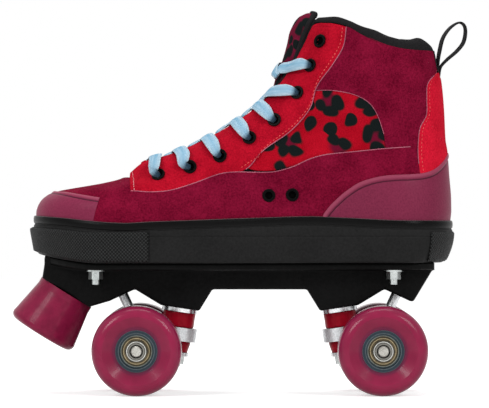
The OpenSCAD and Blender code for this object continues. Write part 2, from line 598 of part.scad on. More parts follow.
// A strip of rubber bonded round the end of the sole, between two places along it
module bumper(u0, u1, steps, low, high, thick) {
    levels = [low, mix(low, high, 0.5), high];
    grid = [for (lv = levels) [for (k = [0:steps]) let (u = mix(u0, u1, k / steps), f = form(u, sole_h),
        n = out_of(u, sole_h), h = [n[0], n[1], 0] / norm([n[0], n[1]]), b = spring_at(f[0] - sole_side),
        z = mix(b, tuck + max(0, curve(sole_wave, f[0])), lv),
        back = end_lean(f[0], max(0, (tuck - z) / (tuck - b))))
        [[f[0], f[1], z] - back * h, h]]];
    function face(off) = [for (row = grid) [for (p = row) p[0] + off * p[1]]];
    translate([0, 0, plate_z]) skin(face(sole_side + gap), face(sole_side + gap + thick));
}
module toe_bumper() {
    u = u_of([-58, sole_h]);
    color("#26262a") bumper(-u, u, 30, 0.04, 0.98, toe_bumper_t);
}
module heel_bumper() {
    u = u_of([122, sole_h]);
    color("#26262a") bumper(u, 2 - u, 14, 0.04, 0.98, heel_bumper_t);
}

// Moulded plate: a rim under the sole, and a body with the seats of the trucks and the toe stop
bolt_front_x = -93.3;
bolt_rear_x = 99.7;
bolt_head_d = 9.5;
bolt_head_h = 2.6;
bolt_reach = 9.4;
plate_front = -127;
plate_rear = 126.4;
stop_c = [plate_front + 13.8, plate_z - 19.4];
stop_along = [cos(stop_tilt), -sin(stop_tilt)];
module at_bolts() {
    for (x = [bolt_front_x, bolt_rear_x]) for (y = [-1, 1] * bolt_span / 2)
        translate([x, y, plate_z]) children();
}
// Side-view place in the frame of the whole skate for a place in a truck's own frame
function front_at(p) = [front_x + p[0], axle_z + p[1]];
function rear_at(p) = [rear_x - p[0], axle_z + p[1]];
module front_truck() { translate([front_x, 0, axle_z]) children(); }
module rear_truck() { translate([rear_x, 0, axle_z]) mirror([1, 0, 0]) children(); }
// Turns a shape drawn up the Z axis to stand on a side-view place with a lean along the skate
module lean(p, tilt) { translate([p[0], 0, p[1]]) rotate([0, tilt, 0]) children(); }

seat_half = 12.6;
pivot_half = 9;
bridge_run = 8.6;
pivot_seat = pivot_c + pivot_depth * pivot_down;
under_profile = [seat_c + seat_half * king_out, seat_c - seat_half * king_out,
    pivot_seat + pivot_half * pivot_out, pivot_seat - pivot_half * pivot_out];
module side_wall(width) {
    bridge = plate_z - bridge_h;
    stop_half = stop_top_d / 2 - 0.6;
    top = plate_z - 1;
    profile = concat(
        [[plate_front, top], stop_c - stop_half * stop_along, stop_c + stop_half * stop_along],
        [for (i = [3:-1:0]) front_at(under_profile[i])],
        [[front_at(under_profile[0])[0] + bridge_run, bridge],
        [rear_at(under_profile[0])[0] - bridge_run, bridge]],
        [for (i = [0:3]) rear_at(under_profile[i])],
        [rear_at(under_profile[3]) + [2.5, -0.6], [plate_rear - 1, plate_z - rim_t], [plate_rear - 1,
        top]]);
    translate([0, width / 2, 0]) rotate([90, 0, 0]) linear_extrude(width) polygon(profile);
}
module rim() {
    xs = [for (x = [plate_front:4:spring_x]) x];
    top = concat([for (x = xs) [x, plate_z + spring_at(x) - fit]],
        [[spring_x, plate_z], [plate_rear, plate_z]]);
    low = [for (i = [len(top) - 1:-1:0]) top[i] - [0, rim_t]];
    wide = 4 * body_w;
    intersection() {
        translate([0, wide / 2, 0]) rotate([90, 0, 0]) linear_extrude(wide) polygon(concat(top, low));
        translate([0, 0, plate_z - 2 * rim_t]) linear_extrude(2 * sole_h) polygon(around(sole_h, -2.4));
    }
}
module plate() {
    x0 = front_at(under_profile[0])[0] + 6;
    x1 = rear_at(under_profile[0])[0] - 6;
    ribs = 3;
    cell = (x1 - x0 - (ribs + 1) * wall) / ribs;
    color("#202024") difference() {
        union() {
            rim();
            side_wall(body_w);
            nose_block();
        }
        for (i = [0:ribs - 1])
            translate([x0 + wall + i * (cell + wall), -body_w / 2 + wall, plate_z - bridge_h - 1])
                cube([cell, body_w - 2 * wall, bridge_h - rim_t + 1]);
        front_truck() truck_bores();
        rear_truck() truck_bores();
        lean(stop_c, stop_tilt) translate([0, 0, -1]) cylinder(d = stop_bolt_d + 2 * fit,
        h = stop_grip + 1);
        at_bolts() translate([0, 0, -2 * rim_t]) cylinder(d = bolt_d + 2 * fit, h = 3 * rim_t);
    }
}
// The toe end fills the space up to the raised toe of the sole
module nose_block() {
    top = [for (x = [plate_front:4:spring_x]) [x, plate_z + spring_at(x) - 0.5]];
    translate([0, body_w / 2, 0]) rotate([90, 0, 0]) linear_extrude(body_w)
        polygon(concat(top, [[spring_x, plate_z - 6], [plate_front, plate_z - 6]]));
}
king_head_h = 5.4;
king_head_af = 13;
king_grip = 17;
stop_grip = 16;
module truck_bores() {
    lean(seat_c, king_tilt) {
        translate([0, 0, -1]) cylinder(d = king_d + 2 * fit, h = king_grip + 2);
        translate([0, 0, king_grip]) cylinder(d = (king_head_af + 2 * gap) / cos(30), h = plate_h, $fn = 6);
    }
    lean(pivot_c, -pivot_tilt) translate([0, 0, -pivot_depth - 4])
        cylinder(d = cup_d + 2 * fit, h = pivot_depth + 4 + pivot_d / 2 + cup_t);
}
module mounting_bolts() {
    shank = floor_h - bolt_head_h + rim_t + bolt_reach;
    color("silver") at_bolts() {
        translate([0, 0, floor_h - bolt_head_h - shank]) cylinder(d = bolt_d, h = shank);
        translate([0, 0, floor_h - bolt_head_h]) cylinder(d = bolt_head_d, h = bolt_head_h);
    }
}
washer_d = 11.8;
washer_t = 1;
nut_af = 8;
nut_t = 5;
module mounting_nuts() {
    color("silver") at_bolts() translate([0, 0, -rim_t]) {
        translate([0, 0, -washer_t]) difference() {
            cylinder(d = washer_d, h = washer_t);
            translate([0, 0, -1]) cylinder(d = bolt_d + 2 * fit, h = washer_t + 2);
        }
        translate([0, 0, -washer_t - fit - nut_t]) difference() {
            cylinder(d = nut_af / cos(30), h = nut_t, $fn = 6);
            translate([0, 0, -1]) cylinder(d = bolt_d + 2 * fit, h = nut_t + 2);
        }
    }
}
stop_round = 4;
stop_head_d = 14;
stop_recess = 9;
module toe_stop() {
    top_r = stop_top_d / 2;
    face_r = stop_face_d / 2;
    color("#a3183c") lean(stop_c, stop_tilt) mirror([0, 0, 1]) rotate_extrude() difference() {
        union() {
            polygon([[0, 0], [top_r - 1.5, 0], [top_r, 1.5], [face_r, stop_h - stop_round],
                [0, stop_h - stop_round]]);
            square([face_r - stop_round, stop_h]);
            translate([face_r - stop_round, stop_h - stop_round]) circle(stop_round);
        }
        translate([-1, -1]) square([stop_bolt_d / 2 + fit + 1, stop_h + 2]);
        translate([-1, stop_h - stop_recess]) square([stop_head_d / 2 + gap + 1, stop_recess + 1]);
    }
}
module toe_stop_bolt() {
    head_h = 5;
    color("silver") lean(stop_c, stop_tilt) mirror([0, 0, 1]) difference() {
        union() {
            translate([0, 0, -stop_grip + 0.5])
                cylinder(d = stop_bolt_d, h = stop_grip + stop_h - stop_recess);
            translate([0, 0, stop_h - stop_recess]) cylinder(d = stop_head_d, h = head_h);
        }
        translate([0, 0, stop_h - stop_recess + 1.5]) cylinder(d = 7, h = head_h, $fn = 6);
    }
}

// Steering hardware of one truck, in the truck's own frame
lower_end = -ring_h / 2 - lower_cushion_h;
king_end = lower_end - retainer_t - 9;
module truck_kingpin() {
    color("silver") lean(ring_c, king_tilt) {
        translate([0, 0, king_end]) cylinder(d = king_d, h = seat_gap + king_grip - king_end);
        translate([0, 0, seat_gap + king_grip])
            cylinder(d = king_head_af / cos(30), h = king_head_h, $fn = 6);
    }
}
module truck_kingpin_nut() {
    color("silver") lean(ring_c, king_tilt) translate([0, 0, lower_end - retainer_t - 7]) difference() {
        union() {
            translate([0, 0, 1.6]) cylinder(d = king_head_af / cos(30), h = 5.4, $fn = 6);
            cylinder(d = king_head_af - 1.5, h = 2);
        }
        translate([0, 0, -1]) cylinder(d = king_d + 2 * fit, h = 9);
    }
}
module cup_washer(d, lip) {
    difference() {
        cylinder(d = d, h = retainer_t);
        translate([0, 0, -1]) cylinder(d = king_d + 2 * fit, h = retainer_t + 2);
    }
    translate([0, 0, -lip]) difference() {
        cylinder(d = d, h = lip + 0.2);
        translate([0, 0, -1]) cylinder(d = d - 1.6, h = lip + 2);
    }
}
module truck_retainers() {
    color("silver") lean(ring_c, king_tilt) {
        translate([0, 0, seat_gap - retainer_t]) cup_washer(cushion_d + 2.6, 1);
        translate([0, 0, lower_end]) mirror([0, 0, 1]) cup_washer(cushion_d - 0.8, 0.8);
    }
}
module truck_upper_cushion() {
    r = cushion_d / 2;
    bore = king_d / 2 + fit;
    h = upper_cushion_h;
    color("#c3122d") lean(ring_c, king_tilt) translate([0, 0, ring_h / 2]) rotate_extrude()
        polygon([[bore, 0], [r - 1, 0], [r, 1], [r, 3.2], [r - 0.7, 4], [r - 0.7, h - 3], [r, h - 2.2],
        [r, h - 1],
            [r - 0.6, h], [bore, h]]);
}
module truck_lower_cushion() {
    r = cushion_d / 2;
    bore = king_d / 2 + fit;
    h = lower_cushion_h;
    color("#c3122d") lean(ring_c, king_tilt) translate([0, 0, -ring_h / 2 - h]) rotate_extrude()
        polygon([[bore, 0], [r - 2.6, 0], [r - 2, 1], [r - 0.4, h - 1], [r - 1, h], [bore, h]]);
}
module truck_pivot_cup() {
    r = pivot_d / 2;
    color("#2a2a2e") lean(pivot_c, -pivot_tilt) difference() {
        translate([0, 0, -pivot_depth]) cylinder(d = cup_d, h = pivot_depth + r + cup_t);
        sphere(r + 0.25);
        translate([0, 0, -pivot_depth - 1]) cylinder(r1 = r + 0.95, r2 = r + 0.25, h = pivot_depth + 1);
    }
}

// Cast hanger: axle housing, arm and kingpin ring, and the pivot pin
ring_hole = king_d + 3.4;
boss_r = bearing_id / 2 + 1.6;
inner_face = track / 2 + inner_bearing;
pivot_l = 36;
pivot_neck = 14;
pivot_root_d = pivot_d + 7;
cushion_room = 20;
module truck_hanger() {
    r = housing_d / 2;
    long = track - wheel_w - 8;
    color("#b9bcc2") difference() {
        union() {
            hull() {
                rotate([90, 0, 0]) cylinder(r = r - 0.4, h = long - 10, center = true, $fn = 32);
                lean(ring_c, king_tilt) cylinder(d = ring_d - 3, h = ring_h - 2, center = true, $fn = 32);
            }
            rotate([90, 0, 0]) cylinder(r = r, h = long, center = true);
            rotate([90, 0, 0]) cylinder(r = r - 1.3, h = long + 5, center = true);
            rotate([90, 0, 0]) cylinder(r = boss_r, h = 2 * inner_face - 2 * fit, center = true);
            lean(ring_c, king_tilt) cylinder(d = ring_d, h = ring_h, center = true);
            lean(pivot_c + pivot_l * pivot_down, -pivot_tilt) rotate_extrude() intersection() {
                union() {
                    polygon([[0, 0], [pivot_root_d / 2, 0], [pivot_d / 2, pivot_l - pivot_neck],
                        [pivot_d / 2, pivot_l], [0, pivot_l]]);
                    translate([0, pivot_l]) circle(d = pivot_d);
                }
                square([pivot_root_d, 2 * pivot_l]);
            }
        }
        lean(ring_c, king_tilt) {
            cylinder(d = ring_hole, h = 2 * ring_h, center = true);
            translate([0, 0, lower_end - cushion_room])
                cylinder(d = cushion_d + 3, h = lower_cushion_h + cushion_room);
        }
        rotate([90, 0, 0]) cylinder(d = axle_d + 2 * fit, h = 2 * track, center = true);
    }
}
axle_d = bearing_id - 2 * fit;
axle_l = track + wheel_w - 0.6;
module truck_axle() {
    color("silver") rotate([90, 0, 0]) difference() {
        cylinder(d = axle_d, h = axle_l, center = true);
        for (m = [0, 1]) mirror([0, 0, m]) translate([0, 0, axle_l / 2 - 1]) difference() {
            cylinder(d = axle_d + 1, h = 2);
            cylinder(d1 = axle_d, d2 = axle_d - 4, h = 2);
        }
    }
}
axle_nut_af = 13;
module truck_axle_nuts() {
    color("silver") for (side = [0, 1]) mirror([0, side, 0])
        translate([0, track / 2 + outer_bearing + bearing_w + fit, 0]) rotate([-90, 0, 0]) difference() {
            union() {
                cylinder(d = axle_nut_af / cos(30), h = nut_h - 1.6, $fn = 6);
                cylinder(d = axle_nut_af - 1.6, h = nut_h);
            }
            translate([0, 0, -1]) cylinder(d = axle_d + 2 * fit, h = nut_h + 2);
        }
}
module groove() {
    translate([ball_ring_r, bearing_w / 2]) circle(d = ball_d + 2 * fit);
}
module truck_inner_races() {
    color("#c9ccd2") for (side = [0, 1]) mirror([0, side, 0]) for (v = [inner_bearing, outer_bearing])
        translate([0, track / 2 + v, 0]) rotate([-90, 0, 0]) rotate_extrude() difference() {
            translate([bearing_id / 2, 0]) square([inner_race_r - bearing_id / 2, bearing_w]);
            groove();
        }
}

// One wheel about its own middle, with +Y outwards
dish_depth = 4.2;
module wheel_tyre() {
    r = wheel_d / 2;
    w = wheel_w;
    core = hub_d / 2 + fit;
    color("#8d1238") rotate([-90, 0, 0]) rotate_extrude($fn = 96) difference() {
        union() {
            translate([core, -w / 2]) square([r - tread_r - core, w]);
            translate([core, -w / 2 + tread_r]) square([r - core, w - 2 * tread_r]);
            for (s = [-1, 1]) translate([r - tread_r, s * (w / 2 - tread_r)]) circle(tread_r);
        }
        for (s = [-1, 1]) polygon([[core - 1, s * (w / 2 - dish_depth)], [core + 1.5,
        s * (w / 2 - dish_depth)],
            [dish_d / 2, s * w / 2], [dish_d / 2, s * (w / 2 + 1)], [core - 1, s * (w / 2 + 1)]]);
    }
}
module wheel_hub() {
    lip = wheel_w / 2 - dish_depth + 0.6;
    seat = bearing_od / 2 + fit;
    stop_r = outer_race_r - 0.6;
    color("#31424f") rotate([-90, 0, 0]) rotate_extrude() difference() {
        translate([stop_r, -lip]) square([hub_d / 2 - stop_r, 2 * lip]);
        translate([0, -wheel_w]) square([seat, wheel_w + inner_bearing + bearing_w]);
        translate([0, outer_bearing]) square([seat, wheel_w]);
    }
}
module wheel_bearings() {
    color("#9a8f86") for (v = [inner_bearing, outer_bearing]) translate([0, v, 0]) rotate([-90, 0, 0]) {
        rotate_extrude() difference() {
            translate([outer_race_r, 0]) square([bearing_od / 2 - outer_race_r, bearing_w]);
            groove();
        }
        for (z = [0.35, bearing_w - 0.75]) translate([0, 0, z]) difference() {
            cylinder(r = outer_race_r - fit, h = 0.4);
            translate([0, 0, -1]) cylinder(r = inner_race_r + 0.5, h = 3);
        }
        for (k = [0:ball_count - 1]) rotate(360 / ball_count * k) translate([ball_ring_r, 0, bearing_w / 2])
            sphere(d = ball_d);
    }
}
// Places a wheel: x of its axle, and side -1 for left or 1 for right
module wheel_at(x, side) {
    translate([x, side * track / 2, axle_z]) mirror([0, side < 0 ? 1 : 0, 0]) children();
}

liner_left();
liner_right();
collar();
tongue();
toe_cap();
vamp();
side_bands();
side_panels();
ankle_panels();
eyestays();
heel_strip();
heel_counter();
pull_loop();
eyelets();
vent_eyelets();
laces();
insole();
lasting_board();
sole();
toe_bumper();
heel_bumper();
plate();
mounting_bolts();
mounting_nuts();
toe_stop();
toe_stop_bolt();
front_truck() truck_kingpin();  // front_kingpin
front_truck() truck_kingpin_nut();  // front_kingpin_nut
front_truck() truck_retainers();  // front_retainers
front_truck() truck_upper_cushion();  // front_upper_cushion
front_truck() truck_lower_cushion();  // front_lower_cushion
front_truck() truck_pivot_cup();  // front_pivot_cup
front_truck() truck_hanger();  // front_hanger
front_truck() truck_axle();  // front_axle
front_truck() truck_axle_nuts();  // front_axle_nuts
front_truck() truck_inner_races();  // front_inner_races
rear_truck() truck_kingpin();  // rear_kingpin
rear_truck() truck_kingpin_nut();  // rear_kingpin_nut
rear_truck() truck_retainers();  // rear_retainers
rear_truck() truck_upper_cushion();  // rear_upper_cushion
rear_truck() truck_lower_cushion();  // rear_lower_cushion
rear_truck() truck_pivot_cup();  // rear_pivot_cup
rear_truck() truck_hanger();  // rear_hanger
rear_truck() truck_axle();  // rear_axle
rear_truck() truck_axle_nuts();  // rear_axle_nuts
rear_truck() truck_inner_races();  // rear_inner_races
wheel_at(front_x, -1) wheel_tyre();  // front_left_tyre
wheel_at(front_x, -1) wheel_hub();  // front_left_hub
wheel_at(front_x, -1) wheel_bearings();  // front_left_bearings
wheel_at(front_x, 1) wheel_tyre();  // front_right_tyre
wheel_at(front_x, 1) wheel_hub();  // front_right_hub
wheel_at(front_x, 1) wheel_bearings();  // front_right_bearings
wheel_at(rear_x, -1) wheel_tyre();  // rear_left_tyre
wheel_at(rear_x, -1) wheel_hub();  // rear_left_hub
wheel_at(rear_x, -1) wheel_bearings();  // rear_left_bearings
wheel_at(rear_x, 1) wheel_tyre();  // rear_right_tyre
wheel_at(rear_x, 1) wheel_hub();  // rear_right_hub
wheel_at(rear_x, 1) wheel_bearings();  // rear_right_bearings
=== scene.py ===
import math

import bmesh
import bpy
import numpy as np
from mathutils import Matrix, Vector


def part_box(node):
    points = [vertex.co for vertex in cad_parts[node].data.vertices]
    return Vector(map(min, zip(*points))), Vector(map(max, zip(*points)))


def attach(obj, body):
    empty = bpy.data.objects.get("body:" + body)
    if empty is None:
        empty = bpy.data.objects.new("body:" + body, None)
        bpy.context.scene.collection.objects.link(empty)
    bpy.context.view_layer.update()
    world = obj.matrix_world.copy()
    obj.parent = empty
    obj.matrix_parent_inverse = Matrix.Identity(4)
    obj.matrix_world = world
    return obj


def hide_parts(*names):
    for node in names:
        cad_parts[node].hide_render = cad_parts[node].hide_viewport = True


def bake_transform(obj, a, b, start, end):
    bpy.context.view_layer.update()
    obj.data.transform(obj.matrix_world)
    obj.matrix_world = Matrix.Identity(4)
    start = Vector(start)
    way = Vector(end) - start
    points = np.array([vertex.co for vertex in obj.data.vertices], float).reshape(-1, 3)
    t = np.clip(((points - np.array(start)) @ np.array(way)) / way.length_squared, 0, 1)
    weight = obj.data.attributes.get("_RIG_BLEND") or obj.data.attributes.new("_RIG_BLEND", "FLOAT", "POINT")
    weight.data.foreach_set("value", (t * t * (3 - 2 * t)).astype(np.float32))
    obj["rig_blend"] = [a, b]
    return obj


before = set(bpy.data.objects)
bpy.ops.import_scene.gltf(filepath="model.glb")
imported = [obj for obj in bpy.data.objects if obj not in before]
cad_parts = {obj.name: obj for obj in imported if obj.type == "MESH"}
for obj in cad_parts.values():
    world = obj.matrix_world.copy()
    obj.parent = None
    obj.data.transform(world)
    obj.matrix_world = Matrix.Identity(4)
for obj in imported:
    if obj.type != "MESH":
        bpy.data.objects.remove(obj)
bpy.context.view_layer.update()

# The studio: a white floor and backdrop under soft lights, seen through a long lens from the skate's
# left side, level with the ankle. The floor looks white to the camera and keeps the skate's shadow.
scene = bpy.context.scene
scene.view_settings.view_transform = "Standard"
image_w = 489
pixel_size = 0.000654
eye = Vector((0.0031, -2.56, 0.1236))
floor_size = 8
ambient_light = 0.5
floor_white = 0.8
floor_glow = 0.55


def add(tree, kind, inputs=None, **settings):
    """A shader node with its settings made, and its inputs linked or set."""
    node = tree.nodes.new("ShaderNode" + kind)
    for key, value in settings.items():
        setattr(node, key, value)
    for key, value in (inputs or {}).items():
        if isinstance(value, bpy.types.NodeSocket):
            tree.links.new(value, node.inputs[key])
        else:
            node.inputs[key].default_value = value
    return node


def math_node(tree, operation, a, b=0.0):
    return add(tree, "Math", {0: a, 1: b}, operation=operation).outputs[0]


def rescale(tree, value, low=0.0, high=1.0, start=0.0, end=1.0):
    """A value carried from one range to another and held at its ends."""
    ranges = {"From Min": low, "From Max": high, "To Min": start, "To Max": end}
    return add(tree, "MapRange", {"Value": value, **ranges}).outputs[0]


def seen_white(tree):
    """1 for rays of the camera, mirrors and panes, which see the studio as plain white."""
    path = add(tree, "LightPath").outputs
    mirror = math_node(tree, "MAXIMUM", path["Is Glossy Ray"], path["Is Transmission Ray"])
    return math_node(tree, "MAXIMUM", path["Is Camera Ray"], mirror)


def make_piece(name, bm, *finishes):
    """An object at the origin from a finished bmesh."""
    mesh = bpy.data.meshes.new(name)
    bm.to_mesh(mesh)
    bm.free()
    for finish in finishes:
        mesh.materials.append(finish)
    mesh.shade_smooth()
    piece = bpy.data.objects.new(name, mesh)
    scene.collection.objects.link(piece)
    return piece


lens = bpy.data.cameras.new("lens")
lens.lens = lens.sensor_width * -eye.y / (image_w * pixel_size)
lens.clip_end = 20
camera = bpy.data.objects.new("camera", lens)
camera.location = eye
camera.rotation_euler = (math.radians(90), 0, 0)
scene.collection.objects.link(camera)
scene.camera = camera

world = bpy.data.worlds.new("studio")
world.use_nodes = True
scene.world = world
sky = world.node_tree
strength = rescale(sky, seen_white(sky), start=ambient_light)
sky.links.new(strength, sky.nodes["Background"].inputs["Strength"])
sky.nodes["Background"].inputs["Color"].default_value = (1, 1, 1, 1)

floor_finish = bpy.data.materials.new("white_floor")
floor_finish.use_nodes = True
paper = floor_finish.node_tree
paper.nodes.remove(paper.nodes["Principled BSDF"])
matt = add(paper, "BsdfDiffuse", {"Color": (floor_white, floor_white, floor_white, 1)})
glow = add(paper, "Emission", {"Strength": math_node(paper, "MULTIPLY", seen_white(paper), floor_glow)})
both = add(paper, "AddShader", {0: matt.outputs[0], 1: glow.outputs[0]})
paper.links.new(both.outputs[0], paper.nodes["Material Output"].inputs["Surface"])
bm = bmesh.new()
bmesh.ops.create_grid(bm, x_segments=1, y_segments=1, size=floor_size / 2)
floor = make_piece("floor", bm, floor_finish)

aim = Vector((0, 0, 0.12))
for name, place, size, power in (
    ("left_softbox", (-1.5, -1.9, 1.5), 0.9, 30),
    ("right_softbox", (1.5, -1.9, 1.5), 0.9, 26),
    ("overhead_softbox", (0, 0.2, 2.2), 1.4, 26),
):
    lamp = bpy.data.lights.new(name, "AREA")
    lamp.size = size
    lamp.energy = power
    holder = bpy.data.objects.new(name, lamp)
    holder.location = place
    holder.rotation_euler = (aim - Vector(place)).to_track_quat("-Z", "Y").to_euler()
    scene.collection.objects.link(holder)

# The lining: two halves of black padded knit sewn to the shape of the last, thicker round the ankle.
# The boot's form is given here by its front and back outlines and its half widths at each height, in
# millimetres above the plate. A place on it is u, from 0 at the toe over the right side to 1 at the heel.
mm = 0.001
floor_h = 10.0
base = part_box("lasting_board")[0].z / mm - floor_h
board_z = 12.0
toe_x, heel_x = -132.4, 136.4
front_line = [
    (6, 4.4), (12, 3), (20, 1.2), (27, 0.2), (32, 0), (36, 0.9), (40, 3.2), (43, 6.6), (45, 10.2),
    (46.4, 14.5), (48, 23), (49.5, 32), (51.6, 43.5), (54.2, 53.5), (57, 58.2), (60, 60.6), (62.6, 63.2),
    (64.6, 66.6), (66, 70.4), (67.4, 75.4), (69.4, 83), (72.4, 90.9), (77.6, 103), (84.1, 115.4),
    (92, 128.4), (101.7, 141.6), (110.2, 150.1), (120, 158.3), (131.7, 165.8), (143, 171.9), (152.4, 176.2),
    (159, 180), (166, 186),
]
back_line = [
    (6, 4), (12, 2.6), (20, 0.9), (27, 0), (34, -0.7), (41, -0.6), (57, 0.6), (72, 1.6), (80, 2.9),
    (100, 3.9), (121, 6), (126, 7.8), (135, 9.8), (145, 11.6), (166, 12.6),
]
ball_line = [
    (6, 40), (12, 42), (20, 44.6), (27, 46), (34, 46), (42, 43.5), (49, 40.5), (56, 37.5), (65, 34.5),
    (75, 32.8), (90, 31.6), (105, 32), (125, 33.6), (145, 35.4), (166, 37),
]
ankle_line = [
    (6, 29), (12, 30.6), (20, 32.6), (27, 33.6), (36, 34.2), (46, 34), (60, 32.4), (75, 31), (90, 30.8),
    (105, 31.8), (125, 33.6), (145, 35.4), (166, 37),
]
toe_round = [(6, 50), (30, 52), (46, 44), (64, 36), (100, 36), (125, 40), (166, 44)]
heel_round = [(6, 32), (30, 34), (75, 37), (105, 42), (166, 45)]
ball_x, ankle_x = -55, 55
toe_swing, swing_x, swing_l = 4.0, -15, 110
throat_half, widest_share = 13.0, 0.96
panel_in, panel_out, raised_out = -1.1, 0.2, 0.7
liner_out, liner_in = -1.7, -4.7
pad_t, pad_x, pad_deep, pad_fade = 5.4, 74, 42, 18
collar_line = [
    (51.5, 155.5), (60, 155), (69, 152.5), (79, 146.8), (90.4, 141.6), (98, 139.1), (106, 137.5),
    (114, 136.8), (119, 136.7), (123, 136.6), (127, 136.5),
]


def mix(a, b, t):
    return a + (b - a) * t


def ease(t):
    s = np.clip(t, 0, 1)
    return s * s * (3 - 2 * s)


def curve(table, x):
    """The smooth value of a list of (key, value) points at x, with no overshoot between them."""
    keys, values = np.array(table, float).T
    slopes = np.diff(values) / np.diff(keys)
    product = slopes[:-1] * slopes[1:]
    total = np.where(product > 0, slopes[:-1] + slopes[1:], 1)
    knots = np.concatenate([slopes[:1], np.where(product > 0, 2 * product / total, 0), slopes[-1:]])
    i = np.clip(np.searchsorted(keys, x) - 1, 0, len(keys) - 2)
    h = keys[i + 1] - keys[i]
    s = (x - keys[i]) / h
    r = 1 - s
    start = (1 + 2 * s) * r * r * values[i] + s * r * r * h * knots[i]
    return start + s * s * (3 - 2 * s) * values[i + 1] - s * s * r * h * knots[i + 1]


def nose(t):
    return np.sqrt(1 - (1 - np.clip(t, 0, 1)) ** 2)


def front_x(z):
    return toe_x + curve(front_line, z)


def back_x(z):
    return heel_x - curve(back_line, z)


def full_width(x, z):
    return mix(curve(ball_line, z), curve(ankle_line, z), ease((x - ball_x) / (ankle_x - ball_x)))


def swing(x):
    return toe_swing * ease((swing_x - x) / swing_l)


def form(u, z):
    """Places on the boot's form for arrays of u and heights z."""
    z = z + 0 * u
    front, back = front_x(z), back_x(z)
    x = front + (back - front) * (1 - np.cos(np.pi * u)) / 2
    ends = nose((x - front) / curve(toe_round, z)) * nose((back - x) / curve(heel_round, z))
    half = full_width(x, z) * ends
    return np.stack([x, swing(x) + np.sign(np.sin(np.pi * u)) * half, z], -1)


def unit(v):
    return v / np.linalg.norm(v, axis=-1, keepdims=True)


def outward(u, z):
    step_u, step_z = 0.003, 0.4
    rise = form(u, z + step_z) - form(u, z - step_z)
    along = form(u + step_u, z) - form(u - step_u, z)
    return unit(np.cross(rise, along))


def on_boot(u, z, lift):
    """Places at a distance from the boot's form, in millimetres in the frame of the whole skate."""
    return form(u, z) + (lift + 0 * u)[..., None] * outward(u, z) + [0, 0, base]


def u_of(x, z):
    front, back = front_x(z), back_x(z)
    return np.arccos(np.clip(1 - 2 * (x - front) / (back - front), -1, 1)) / np.pi


def side_x(z, half):
    """Where the front of the form has widened to a half width, at each height."""
    front = front_x(z)
    s = np.minimum(widest_share, half / full_width(front, z))
    return front + curve(toe_round, z) * (1 - np.sqrt(1 - s * s))


def throat_u(z):
    """Where the front edge of the eyestay runs at each height."""
    return u_of(side_x(z, throat_half), z)


def edge_z(x):
    return curve(collar_line, np.clip(x, collar_line[0][0], None))


def padding(x, z):
    return pad_t * ease((x - pad_x) / pad_fade) * ease((z - edge_z(x) + pad_deep) / pad_fade)


def lay_grid(bm, columns, rows, place, turn=False, size=(1, 1), marks=None):
    """Adds a grid of points place(s, v) in millimetres, s and v from 0 to 1, with its UV map and marks."""
    verts = bmesh.ops.create_grid(bm, x_segments=columns, y_segments=rows, size=0.5)["verts"]
    flat = np.array([v.co.xy for v in verts]) + 0.5
    points = place(flat[:, 0], flat[:, 1]) * mm
    cloth = bm.loops.layers.uv.verify()
    for vert, spot, point in zip(verts, flat * size, points):
        vert.co = point
        for loop in vert.link_loops:
            loop[cloth].uv = spot
    if marks:
        layer = bm.verts.layers.float["edge"]
        for vert, value in zip(verts, marks(flat[:, 0], flat[:, 1])):
            vert[layer] = value
    if turn:
        bmesh.ops.reverse_faces(bm, faces=list({f for v in verts for f in v.link_faces}))
    return verts


def close_mesh(bm, reach=1e-6):
    """Merges the seams of a wrapped grid and turns its faces outwards."""
    bmesh.ops.remove_doubles(bm, verts=bm.verts, dist=reach)
    bmesh.ops.dissolve_degenerate(bm, edges=bm.edges, dist=reach)
    bmesh.ops.recalc_face_normals(bm, faces=bm.faces)


def thicken(piece, thickness, rim_finish=0):
    """Gives a sheet its thickness, inwards from its outer face."""
    wall = piece.modifiers.new("thickness", "SOLIDIFY")
    wall.thickness = thickness * mm
    wall.offset = -1
    wall.material_offset_rim = rim_finish
    return piece


def new_group(name, inputs, outputs):
    """An empty shader node group, with its inputs as {name: (socket, value)}, and its two end nodes."""
    group = bpy.data.node_groups.new(name, "ShaderNodeTree")
    for key, (kind, value) in inputs.items():
        socket = group.interface.new_socket(key, in_out="INPUT", socket_type="NodeSocket" + kind)
        if value is not None:
            socket.default_value = value
    for key in outputs:
        group.interface.new_socket(key, in_out="OUTPUT", socket_type="NodeSocketFloat")
    return group, group.nodes.new("NodeGroupInput").outputs, group.nodes.new("NodeGroupOutput")


def feed(group, end, **values):
    for key, value in values.items():
        group.links.new(value, end.inputs[key])


# Fine grain with a slow drift of tone over it, for skins, print cloth, mouldings, castings and paint
grain, grain_in, grain_out = new_group(
    "grain", {"Vector": ("Vector", None), "Scale": ("Float", 800.0), "Drift": ("Float", 40.0)},
    ["Tone", "Height"],
)
fine, slow = (
    add(grain, "TexNoise", {"Vector": grain_in["Vector"], "Scale": size, "Detail": detail}).outputs[0]
    for size, detail in ((grain_in["Scale"], 3.0), (grain_in["Drift"], 2.0))
)
fine_share, slow_share = math_node(grain, "MULTIPLY", fine, 0.6), math_node(grain, "MULTIPLY", slow, 0.4)
tone = rescale(grain, math_node(grain, "ADD", fine_share, slow_share), 0.34, 0.66)
feed(grain, grain_out, Tone=tone, Height=fine)

